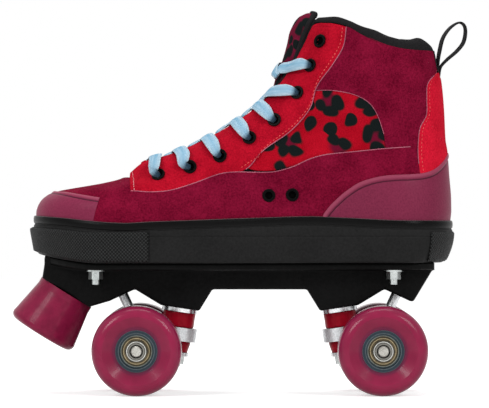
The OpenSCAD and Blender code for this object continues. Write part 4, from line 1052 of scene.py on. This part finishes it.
def stitch_row(bm, spots, lift):
    """Stitches along a line on the boot, with spots(t) giving its u and height."""
    t = np.linspace(0, 1, 600)
    u, z = spots(t)
    line, normals = on_boot(u, z, lift), outward(u, z)
    run = np.concatenate([[0], np.cumsum(np.linalg.norm(np.diff(line, axis=0), axis=1))])
    for at in np.arange(stitch_pitch / 2, run[-1], stitch_pitch):
        i = min(np.searchsorted(run, at), len(t) - 2)
        ahead = Vector(line[i + 1] - line[i - 1]).normalized()
        out = Vector(normals[i])
        across = out.cross(ahead).normalized()
        turn = Matrix((ahead, across, out)).transposed().to_4x4()
        scale = Matrix.Diagonal((stitch_long / 2, stitch_thick / 2, stitch_thick / 2, 1 / mm)) * mm
        spot_at = Matrix.Translation(Vector(line[i] * mm))
        bmesh.ops.create_icosphere(bm, subdivisions=1, radius=1, matrix=spot_at @ turn @ scale)


def edge_row(grid, edge, side, distance, start, end):
    """A line at a distance in from one edge of a grid, between two shares of its length."""
    def spots(t):
        ends = along_edge(edge, mix(start, end, t))
        inwards = edge in ("bottom", "top")
        near = [np.clip(q, near_edge, 1 - near_edge) if i == inwards else q for i, q in enumerate(ends)]
        a, b = np.stack(grid(*ends), -1), np.stack(grid(*near), -1)
        across = np.linalg.norm(form(*a.T) - form(*b.T), axis=-1)
        u, z = mix(a, b, (distance / across)[:, None]).T
        return side * u, z
    return spots


pale_thread = thread("pale_thread", (0.5, 0.14, 0.17), (0.78, 0.42, 0.42))
red_thread = thread("red_thread", (0.58, 0.03, 0.04), (0.78, 0.13, 0.11))
for name, finish, grid, edge, distance, start, end in (
    ("eyestay_toe_stitches", pale_thread, stay_grid, "bottom", 2.4, 0.08, 0.82),
    ("eyestay_stitches", red_thread, stay_grid, "rear", stitch_in, 0.45, 1.0),
    ("heel_strip_stitches", red_thread, strip_grid, "front", stitch_in, 0.0, 1.0),
):
    bm = bmesh.new()
    for side in (1, -1):
        stitch_row(bm, edge_row(grid, edge, side, distance, start, end), raised_out)
    fit(make_piece(name, bm, finish))


def cut_line(grid, edge, side, start, end, lift):
    """A line along the cut edge of a panel: its path, and the outward direction there."""
    spots = edge_row(grid, edge, side, 0, start, end)
    return lambda t: on_boot(*spots(t), lift), lambda t: outward(*spots(t))


for name, slot, radius, *line in (
    ("band_cut_edges", "burgundy_suede", 0.36, band_grid, "top", 0.133, 0.972, panel_out + 0.6),
    ("ankle_cut_edges", "burgundy_suede", 0.24, ankle_grid, "bottom", 0.02, 0.68, panel_out),
    ("eyestay_cut_edges", "red_suede", 0.34, stay_grid, "rear", 0.46, 1.0, raised_out - 0.1),
    ("heel_strip_cut_edges", "red_suede", 0.3, strip_grid, "front", 0.1, 0.96, raised_out + 0.1),
):
    grid, edge, start, end, lift = line
    lines = [cut_line(grid, edge, side, start, end, lift) for side in (1, -1)]
    pipe(name, cut_edge, lines, radius, 6, 160)

# The eyelets and vents: black enamelled rings pressed through the skins, each with a short barrel behind
# it that holds the skins together.
eyelet_hole, vent_hole = 5.5, 4.8
eyelet_seat, vent_seat = 0.7, 0.5
barrel_deep, barrel_swell = 1.6, 1.02


def grey(level):
    return (level, level, level)


enamel = grained(
    "black_enamel", (grey(0.001), grey(0.003)), (0.4, 0.26), 1500, 300, 0.00003, Specular_IOR_Level=0.04)[0]
barrel_dark = grained(
    "barrel_shadow", (grey(0.0005), grey(0.002)), (0.7, 0.5), 900, 200, Specular_IOR_Level=0.01)[0]


def turned_barrel(bm, x, z, side, hole, top):
    """A short blind barrel under an eyelet, spun about the skin's own direction."""
    middle, out = skin_at(x, z, side, top)
    across = out.orthogonal().normalized() * (hole / 2 * barrel_swell * mm)
    deep = out * (barrel_deep * mm)
    verts = [bm.verts.new(middle + p) for p in (across, across - deep, -deep)]
    edges = [bm.edges.new(pair) for pair in zip(verts, verts[1:])]
    bmesh.ops.spin(bm, geom=verts + edges, cent=middle, axis=out, angle=2 * math.pi, steps=24, use_merge=True)


def finish_nodes(finish, *nodes):
    """Gives its finish to each solid that shows as it was made."""
    for node in nodes:
        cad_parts[node].material_slots[0].material = finish


bm = bmesh.new()
for side in (1, -1):
    for x, z in eyelet_spots:
        turned_barrel(bm, x, z, side, eyelet_hole, raised_out + eyelet_seat)
    for x, z in vent_spots:
        turned_barrel(bm, x, z, side, vent_hole, panel_out + vent_seat)
bmesh.ops.remove_doubles(bm, verts=bm.verts, dist=1e-6)
fit(make_piece("eyelet_barrels", bm, barrel_dark))
finish_nodes(enamel, "eyelets", "vent_eyelets")

# The lace: flat pale blue cotton, out of each eyelet, over the edge of the eyestay and across the tongue,
# with each crossing over or under its neighbour.
edge_heights = [67.4, 72.1, 80.2, 90.9, 101.5, 109.5, 126]
lace_w, lace_t, lace_end_w = 9.0, 1.3, 4.6
lace_squeeze, lace_crown = 1.4, 0.25
lace_over, lace_under = (0.9, 0.4, 0, -0.3), (-1.7, -2.1, -2.1, -2.1)
lace_top_over, lace_top_under = (5.8, 5.9, 5, 3.8), (4.3, 4.3, 3.4, 2.4)
lace_steps, lace_reach = (0.26, 0.5, 0.8, 1), 0.84
lace_sunk, lace_rise, lace_dip = -0.5, 0.1, 0.4
lace_wide_by, lace_narrow_from = 0.3, 0.6
eyelet_t, gap = 0.9, 0.3
cotton, tree, shader = new_finish("blue_cotton", Specular_IOR_Level=0.05)
counts = {"Vector": cloth_place(tree), "Across": 9000.0, "Along": 7000.0}
cloth = add(tree, "Group", counts, node_tree=weave).outputs
# The lace's colour holds painted light: its edges are painted paler as a painted highlight, and long streaks
# darker as painted shade in its folds
lay = add(tree, "SeparateXYZ", {0: cloth_place(tree)}).outputs
turn = math_node(tree, "MULTIPLY", lay["X"], math.pi / (lace_w * mm))
from_middle = math_node(tree, "ABSOLUTE", math_node(tree, "COSINE", turn))
long_folds = add(tree, "Mapping", {"Vector": cloth_place(tree), "Scale": (700, 70, 1)}).outputs[0]
creases = add(tree, "TexNoise", {"Vector": long_folds, "Scale": 1.0, "Detail": 2.0}).outputs[0]
edge_light_and_fold_shade = math_node(tree, "ADD", math_node(tree, "MULTIPLY", from_middle, 0.5), creases)
lace_colour_and_painted_light = mix_colours(tree, rescale(tree, edge_light_and_fold_shade, 0.45, 1.1), (0.19, 0.37, 0.5), (0.59, 0.7, 0.76))
dress(tree, shader, lace_colour_and_painted_light, (cloth["Tone"], 0.98, 0.82), cloth["Height"], 0.0002)
paint_over(tree, shader, math_node(tree, "MULTIPLY", cloth["Tone"], 0.35), (0.1, 0.26, 0.42))
# The first few millimetres of each crossing lie in the shade of the eyelet
paint_over(tree, shader, rescale(tree, lay["Y"], 0.0045, 0.0075, 0.9, 0.0), (0.01, 0.025, 0.05))


def rung(bm, k, side, far_z, levels):
    """One crossing of the lace, from inside an eyelet to the far edge of the lacing gap."""
    x, z = (np.array(float(q)) for q in eyelet_spots[k])
    edge = np.array(float(edge_heights[k]))
    far_z = np.array(float(far_z))
    start, over, far = side * u_of(x, z), side * throat_u(edge), -side * throat_u(far_z) * lace_reach
    edge_x = form(throat_u(edge), edge)[0]
    high = raised_out + eyelet_seat + eyelet_t + 5 * gap + lace_t / 2
    half_z = mix(z, edge, 0.5)
    route = [
        (start, z, lace_sunk),
        (mix(start, over, lace_rise), mix(z, edge, lace_rise), high - lace_dip),
        (side * u_of(mix(x, edge_x, 0.5), half_z), half_z, high),
        (over, edge, raised_out + 3 * gap + lace_t / 2),
    ]
    route += [(mix(over, far, s), mix(edge, far_z, s), lv) for s, lv in zip(lace_steps, levels)]
    u, z, lift = np.array(route, float).T
    path, ups = on_boot(u, z, lift), outward(u, z)

    def place(a, t):
        ahead = heading(lambda q: line_at(path, q), t)
        across = unit(np.cross(ahead, line_at(ups, t)))
        out = np.cross(across, ahead)
        leaving = mix(eyelet_hole - lace_squeeze, lace_w, ease(t / lace_wide_by))
        ending = mix(lace_w, lace_end_w, ease((t - lace_narrow_from) / (1 - lace_narrow_from)))
        turn = 2 * np.pi * a
        flat = flattened(np.cos(turn), 0.6)
        wide = np.minimum(leaving, ending) / 2 * flat
        crown = np.sin(turn) * lace_t / 2 + lace_crown * (1 - flat ** 2)
        return line_at(path, t) + wide[:, None] * across + crown[:, None] * out

    lay_grid(bm, 20, 70, place, size=(2 * lace_w * mm, 0.05))


bm = bmesh.new()
rung(bm, 0, -1, edge_heights[0], lace_over)
for side, levels, top_levels in ((-1, lace_under, lace_top_under), (1, lace_over, lace_top_over)):
    for k in range(1, 6):
        rung(bm, k, side, mix(edge_heights[k - 1], edge_heights[k], 0.4), levels)
    rung(bm, 6, side, mix(edge_heights[5], edge_heights[6], 0.6), top_levels)
cap_ends(bm)
fit(make_piece("lace_cotton", bm, cotton), "laces")

# The insole and the lasting board: a soft black foam footbed laid on a stiff fibre board, both cut to the
# boot's outline.
insole_t, insole_room, insole_dish = 5.0, 0.9, 1.2
rim_from, rim_to = 0.4, 0.6
toe_slant, toe_lean_x, toe_lean_l = 2.6, -95, 35
heel_slant, heel_lean_x, heel_lean_l = 6.0, 108, 22


def end_lean(x, depth):
    """How far the sole draws in at its two ends, for a depth from 0 at its lip to 1 at its bottom."""
    toe = toe_slant * depth * ease((toe_lean_x - x) / toe_lean_l)
    return toe + heel_slant * depth * depth * ease((x - heel_lean_x) / heel_lean_l)


def around(k, z, off, depth=0):
    """The boot's outline at a height, moved out in plan, less at the ends, for k from 0 to 1 round it."""
    u = 2 * k
    plan, normal = form(u, z)[:, :2], unit(outward(u, z)[:, :2])
    return plan + (off - end_lean(plan[:, 0], depth))[:, None] * normal


def wrap(name, profile, columns, rows, finish, size):
    """A closed body round the boot: profile(k, t) gives plan, height and pull to the middle line."""
    def place(k, t):
        plan, z, pull = profile(k, t)
        middle = swing(plan[:, 0])
        return np.stack([plan[:, 0], mix(plan[:, 1], middle, pull), z + base], -1)
    bm = bmesh.new()
    lay_grid(bm, columns, rows, place, size=size)
    close_mesh(bm, 2e-5)
    return make_piece(name, bm, finish)


foam_finish = grained(
    "black_foam", ((0.01, 0.01, 0.011), (0.035, 0.034, 0.036)), (0.95, 0.8), 1200, 50, 0.0002,
    Sheen_Weight=0.1, Specular_IOR_Level=0.2)[0]


def insole_profile(k, t):
    """Under the foot from the middle line out, up the edge and back in over a shallow dish."""
    pull = np.clip(np.where(t < 0.5, 1 - t / rim_from, (t - rim_to) / (1 - rim_to)), 0, 1)
    up = ease((t - rim_from) / (rim_to - rim_from))
    dish = insole_dish * ease(pull) * up
    return around(k, board_z, liner_in - insole_room), board_z + insole_t * up - dish, pull


insole = wrap("insole_foam", insole_profile, 200, 40, foam_finish, (0.3, 0.1))
fit(insole, "insole")
fibre = grained(
    "board_fibre", ((0.2, 0.15, 0.09), (0.32, 0.25, 0.16)), (0.95, 0.8), 700, 60, 0.0002,
    Specular_IOR_Level=0.2)[0]
finish_nodes(fibre, "lasting_board")

# The sole: a black rubber cup, moulded with a rounded lip, a groove under it and a raised toe, and bonded
# round the foot of the upper.
sole_h = 27.6
spring_x, spring_l, toe_spring = -94.0, 42.0, 6.4
sole_side = 2.6
sole_wave = [
    (-140, 3.4), (-116, 1.8), (-90, -0.8), (-74, -1.6), (-58, -0.8), (-25, 0.4), (8, 1.6), (45, 2.6),
    (71, 1.6), (103, 0.1), (140, -0.2),
]
cup_wall = raised_out + 0.6
# Shares of a turn round the sole's section: out under the bottom, up the side, and down inside the cup
under_end, side_end, inside_l, lip_turn = 0.15, 0.75, 0.1, 6
lip_from, lip_over = 17.6, 3.8
# Offsets from the boot's outline and levels up the sole's side, from the bottom edge to the lip
sole_profile = [
    (0.6, 0), (1.6, 0.2), (2.25, 0.9), (2.4, 2.4), (2.5, 6), (2.6, 10), (2.6, 14.6), (2.6, 16.6),
    (2.35, 16.9), (2.35, 17.3), (2.6, 17.6), (2.6, 20), (2.5, 21.4), (1.9, 21.9), (1.9, 22.3), (2.5, 22.9),
    (2.75, 24.2), (2.75, 25.6), (2.5, 26.9), (2.1, 27.5), (1.6, 27.6),
]


def spring_at(x):
    return toe_spring * (np.maximum(0, spring_x - x) / spring_l) ** 1.4


def sole_level(x, level):
    low = mix(spring_at(x), tuck, level / tuck)
    high = level + curve(sole_wave, x)
    return mix(low, high, ease((level - lip_from) / lip_over))


def sole_profile_at(k, t):
    """Out under the bottom, up the side, over the lip, down inside the cup and in over its floor."""
    side = np.clip((t - under_end) / (side_end - under_end), 0, 1) * (len(sole_profile) - 1)
    i = np.minimum(side.astype(int), len(sole_profile) - 2)
    points = np.array(sole_profile)
    off, level = mix(points[i], points[i + 1], (side - i)[:, None]).T
    plan = around(k, sole_h, off, np.clip(1 - level / tuck, 0, 1))
    z = sole_level(plan[:, 0], level)
    inside = np.clip((t - side_end) / inside_l, 0, 1)
    lip_in = mix(sole_profile[-1][0], cup_wall, np.clip(inside * lip_turn, 0, 1))
    floor_plan = around(k, mix(sole_h, board_z, inside), lip_in)
    plan = np.where((t > side_end)[:, None], floor_plan, plan)
    z = np.where(t > side_end, mix(z, floor_h, inside), z)
    in_over = np.clip((t - side_end - inside_l) / (1 - side_end - inside_l), 0, 1)
    return plan, z, np.where(t < under_end, 1 - t / under_end, in_over)


def moulded(name, colours, rough, scale=700, depth=0.00008, **sockets):
    """Moulded rubber or plastic with a fine spark-eroded grain."""
    return grained(name, colours, rough, scale, 30, depth, **sockets)


sole_rubber, tree, shader = moulded(
    "sole_rubber", (grey(0.006), grey(0.012)), (0.6, 0.45), Specular_IOR_Level=0.08)
# The sole's UV map runs up its profile: the lip is smoother, with a painted highlight along its crest and
# painted shade over the rest of the lip
up_side = add(tree, "SeparateXYZ", {0: cloth_place(tree)}).outputs["Y"]
crest_highlight = rescale(tree, up_side, 0.07, 0.073)
on_lip = rescale(tree, up_side, 0.058, 0.062)
lip_shade = math_node(tree, "MULTIPLY", on_lip, math_node(tree, "SUBTRACT", 1.0, crest_highlight))
# Painted highlight on the lip's crest, then painted shade, near black, over the rest of the lip
paint_over(tree, shader, crest_highlight, (0.13, 0.1, 0.105))
paint_over(tree, shader, lip_shade, grey(0.001))
rough = shader.inputs["Roughness"].links[0].from_socket
smoother = math_node(tree, "SUBTRACT", rough, math_node(tree, "MULTIPLY", on_lip, 0.2))
tree.links.new(smoother, shader.inputs["Roughness"])
fit(wrap("sole_cup", sole_profile_at, 300, 120, sole_rubber, (0.6, 0.1)), "sole")

# The bumpers: strips of harder black rubber bonded round the toe and the heel of the sole, with a fine
# diamond knurl.
toe_bumper_t, heel_bumper_t, bumper_wall = 2.2, 1.0, 0.6
toe_bumper_x, heel_bumper_x = -58.0, 122.0
bumper_low, bumper_high, bumper_rest = 0.04, 0.98, 0.3
strip_tall, strip_long, strip_round, strip_thin = 20, 120, 1.2, 0.15
knurl_pitch = 0.0022


def bumper_place(u0, u1, thick):
    def place(s, v):
        u = mix(u0, u1, s)
        plan = form(u, sole_h)
        normal = unit(outward(u, sole_h + 0 * u)[:, :2])
        bottom = spring_at(plan[:, 0] - sole_side)
        top = tuck + np.maximum(0, curve(sole_wave, plan[:, 0]))
        z = mix(bottom, top, mix(bumper_low, bumper_high, v))
        back = end_lean(plan[:, 0], np.maximum(0, (tuck - z) / (tuck - bottom)))
        edge = np.minimum(np.minimum(v, 1 - v) * strip_tall, np.minimum(s, 1 - s) * strip_long)
        rounded = np.clip(np.sqrt(np.clip(edge / strip_round, 0, 1)), strip_thin, 1)
        lift = sole_side + bumper_rest - back + thick * rounded
        at = plan[:, :2] + lift[:, None] * normal
        return np.stack([at[:, 0], at[:, 1], z + base], -1)
    return place


bumper_rubber, tree, shader = moulded(
    "bumper_rubber", (grey(0.003), grey(0.009)), (0.65, 0.5), depth=None, Specular_IOR_Level=0.1)
run = add(tree, "SeparateXYZ", {0: cloth_place(tree)}).outputs
along, upward = (
    math_node(tree, "SINE", math_node(tree, "MULTIPLY", run[axis], 2 * math.pi / knurl_pitch))
    for axis in ("X", "Y")
)
knurl = math_node(tree, "MULTIPLY", along, upward)
paint_over(tree, shader, rescale(tree, knurl, -0.3, 0.6), (0.03, 0.031, 0.031))
relief = add(tree, "Bump", {"Height": knurl, "Distance": 0.0005})
tree.links.new(relief.outputs[0], shader.inputs["Normal"])
toe_u, heel_u = (float(u_of(np.array(x), np.array(sole_h))) for x in (toe_bumper_x, heel_bumper_x))
for node, u0, u1, thick, length in (
    ("toe_bumper", -toe_u, toe_u, toe_bumper_t, 0.24),
    ("heel_bumper", heel_u, 2 - heel_u, heel_bumper_t, 0.08),
):
    bm = bmesh.new()
    lay_grid(bm, 160, 16, bumper_place(u0, u1, thick), turn=True, size=(length, 0.018))
    fit(thicken(make_piece(node + "_strip", bm, bumper_rubber), bumper_wall), node)

# The plate: one moulding of black glass-filled nylon, with rounded edges, bolted up through the sole and
# the lasting board.
plate_nylon = moulded(
    "plate_nylon", (grey(0.001), grey(0.003)), (0.6, 0.42), scale=500, depth=0.0001,
    Specular_IOR_Level=0.06)[0]
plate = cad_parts["plate"]
finish_nodes(plate_nylon, "plate")
weld = plate.modifiers.new("joined_faces", "WELD")
weld.merge_threshold = 1e-6
rounding = plate.modifiers.new("moulded_edges", "BEVEL")
rounding.width = 0.0015
rounding.use_clamp_overlap = False
rounding.segments = 3
rounding.limit_method = "ANGLE"
rounding.angle_limit = math.radians(25)


# The hardware: zinc-plated bolts, nuts and washers, bright cup retainers, and axles with bearing races of
# ground steel, all turned or pressed.
def plated(name, colours, rough):
    """Plated or ground steel with faint turning marks and stains."""
    return grained(name, colours, rough, 1800, 220, 0.00003, Metallic=1.0)[0]


zinc = plated("zinc_steel", ((0.3, 0.32, 0.315), (0.6, 0.63, 0.62)), (0.4, 0.25))
bright = plated("bright_steel", ((0.4, 0.41, 0.42), (0.72, 0.73, 0.74)), (0.25, 0.12))
axle_steel = plated("axle_steel", ((0.2, 0.19, 0.17), (0.55, 0.54, 0.5)), (0.5, 0.3))
finish_nodes(zinc, "mounting_bolts", "mounting_nuts", "toe_stop_bolt")
for end in ("front", "rear"):
    finish_nodes(zinc, end + "_kingpin", end + "_kingpin_nut")
    finish_nodes(axle_steel, end + "_axle", end + "_inner_races")
    finish_nodes(bright, end + "_retainers")

# The trucks: cast aluminium hangers that steer on a nylon pivot cup and on two red urethane cushions,
# squeezed by the nut on the kingpin.
cast = grained(
    "hanger_cast", ((0.36, 0.37, 0.38), (0.62, 0.63, 0.64)), (0.5, 0.32), 1100, 90, 0.0001, Metallic=1.0)[0]
cup_nylon = moulded("cup_nylon", ((0.008, 0.008, 0.009), (0.02, 0.02, 0.022)), (0.55, 0.4))[0]
cushion_urethane = moulded(
    "cushion_urethane", ((0.2, 0.001, 0.008), (0.3, 0.003, 0.014)), (0.4, 0.24), scale=300,
    Specular_IOR_Level=0.06)[0]
king_tilt = math.radians(8.8)
bore = 5.3
# Radius and height of each cushion's profile, and where it starts along the kingpin from the hanger's ring
upper_profile = [
    (bore, 0), (9.5, 0), (10.2, 0.4), (10.5, 1.3), (10.5, 3.2), (10.4, 5.5), (10.5, 7.8), (10.5, 9.7),
    (10.2, 10.6), (9.5, 11), (bore, 11),
]
lower_profile = [
    (bore, 0), (7.6, 0), (8.4, 0.3), (8.8, 1), (9.3, 3.2), (9.8, 5.6), (10, 7), (9.9, 7.8), (9.3, 8.2),
    (bore, 8.2),
]
upper_start, lower_start = 4.35, -12.55
for end, ring, lean in (("front", (-41.4, 0, 39.2), 1), ("rear", (67.3, 0, 39.2), -1)):
    finish_nodes(cast, end + "_hanger")
    finish_nodes(cup_nylon, end + "_pivot_cup")
    up = Vector((lean * math.sin(king_tilt), 0, math.cos(king_tilt)))
    out = Vector((up.z, 0, -up.x))
    truck = end + "_truck"
    for part, profile, start, bodies in (
        ("_upper_cushion", upper_profile, upper_start, (truck, "boot_and_plate")),
        ("_lower_cushion", lower_profile, lower_start, ("boot_and_plate", truck)),
    ):
        foot = (Vector(ring) + start * up) * mm
        head = foot + profile[-1][1] * mm * up
        bm = bmesh.new()
        verts = [bm.verts.new(foot + (r * out + h * up) * mm) for r, h in profile]
        edges = [bm.edges.new(pair) for pair in zip(verts, verts[1:] + verts[:1])]
        turn = {"cent": foot, "axis": up, "angle": 2 * math.pi, "steps": 64, "use_merge": True}
        bmesh.ops.spin(bm, geom=verts + edges, **turn)
        close_mesh(bm)
        cushion = make_piece(end + part + "_urethane", bm, cushion_urethane)
        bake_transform(cushion, *bodies, start=tuple(foot), end=tuple(head))
        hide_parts(end + part)

# The wheels: magenta urethane cast round a dark nylon hub, each on two shielded bearings and held on its
# axle by a lock nut.
rim_r = 0.032
# Colours outwards from the axle, with the radius in millimetres at which each starts
# The thin pale rings of the hub, at 11.2 and 13.2 mm, and of the bearings, at 7.9 and 9.6 mm, are painted
# highlights along ring edges; the other rings are their own colours
hub_rings = [
    (0, (0.012, 0.018, 0.024)), (11.2, (0.07, 0.09, 0.1)), (11.7, (0.014, 0.026, 0.036)),
    (13.2, (0.05, 0.07, 0.085)), (13.8, (0.012, 0.016, 0.03)),
]
bearing_rings = [
    (0, (0.03, 0.027, 0.02)), (6.6, (0.1, 0.08, 0.05)), (7.9, (0.3, 0.24, 0.14)),
    (8.4, (0.05, 0.043, 0.028)), (9.6, (0.15, 0.16, 0.14)), (10.1, (0.035, 0.05, 0.058)),
]
# The nut's bright ring at 5.7 mm is a painted highlight and the dark rings between are painted shade, giving
# it the look of a domed lock nut; the middle is plain steel
nut_colour_and_painted_light = [
    (0, (0.3, 0.29, 0.26)), (3.7, (0.02, 0.02, 0.018)), (4.3, (0.16, 0.155, 0.14)),
    (5.3, (0.03, 0.03, 0.026)), (5.7, (0.5, 0.5, 0.47)), (6.3, (0.045, 0.042, 0.034)),
]
# The urethane is painted darker towards the hub, as painted shade in the wheel's dished face
tyre_colour_and_dish_shade = [
    (0, (0.06, 0.006, 0.03)), (14.2, (0.11, 0.007, 0.036)), (17, (0.21, 0.008, 0.042)),
    (24, (0.23, 0.009, 0.046)), (30, (0.2, 0.014, 0.05)),
]


def ringed(wheel, rings, spread, smooth=False):
    """Colours that change with the distance from a wheel's axle, with the grain's drift of tone over them."""
    low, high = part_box(wheel + "_tyre")
    middle = (low + high) / 2

    def colours(tree, tone):
        about = add(tree, "Mapping", {
            "Vector": object_place(tree), "Location": (-middle.x, 0, -middle.z), "Scale": (1, 0, 1)})
        away = vector_node(tree, "LENGTH", about.outputs[0])["Value"]
        ramp = add(tree, "ValToRGB", {0: rescale(tree, away, high=rim_r)})
        stops = ramp.color_ramp
        stops.interpolation = "EASE" if smooth else "CONSTANT"
        stops.elements.remove(stops.elements[1])
        for start, colour in rings:
            stop = stops.elements[0] if start == 0 else stops.elements.new(start * mm / rim_r)
            stop.color = (*colour, 1)
        shade = rescale(tree, tone, start=1 - spread, end=1 + spread)
        return vector_node(tree, "SCALE", ramp.outputs[0], shade)[0]
    return colours


turned_rough = (0.4, 0.25)
for end in ("front", "rear"):
    nut_steel = plated(end + "_nut_steel", ringed(end + "_left", nut_colour_and_painted_light, 0.25), turned_rough)
    finish_nodes(nut_steel, end + "_axle_nuts")
    for side in ("left", "right"):
        wheel = end + "_" + side
        tyre = moulded(
            wheel + "_urethane", ringed(wheel, tyre_colour_and_dish_shade, 0.12, smooth=True), (0.28, 0.16), scale=120,
            depth=0.00002, Specular_IOR_Level=0.12, Coat_Weight=0.1, Coat_Roughness=0.08)[0]
        hub = moulded(
            wheel + "_hub_nylon", ringed(wheel, hub_rings, 0.2), (0.42, 0.3), Specular_IOR_Level=0.2)[0]
        steel = plated(wheel + "_bearing_steel", ringed(wheel, bearing_rings, 0.25), turned_rough)
        for part, finish in (("_tyre", tyre), ("_hub", hub), ("_bearings", steel)):
            finish_nodes(finish, wheel + part)

# The toe stop: a turned block of magenta rubber to brake with, which hangs on a bolt through the nose of
# the plate.
stop_rubber = moulded(
    "stop_rubber", ((0.15, 0.005, 0.03), (0.22, 0.01, 0.045)), (0.4, 0.25), scale=260, depth=0.00005,
    Specular_IOR_Level=0.1, Coat_Weight=0.05)[0]
finish_nodes(stop_rubber, "toe_stop")
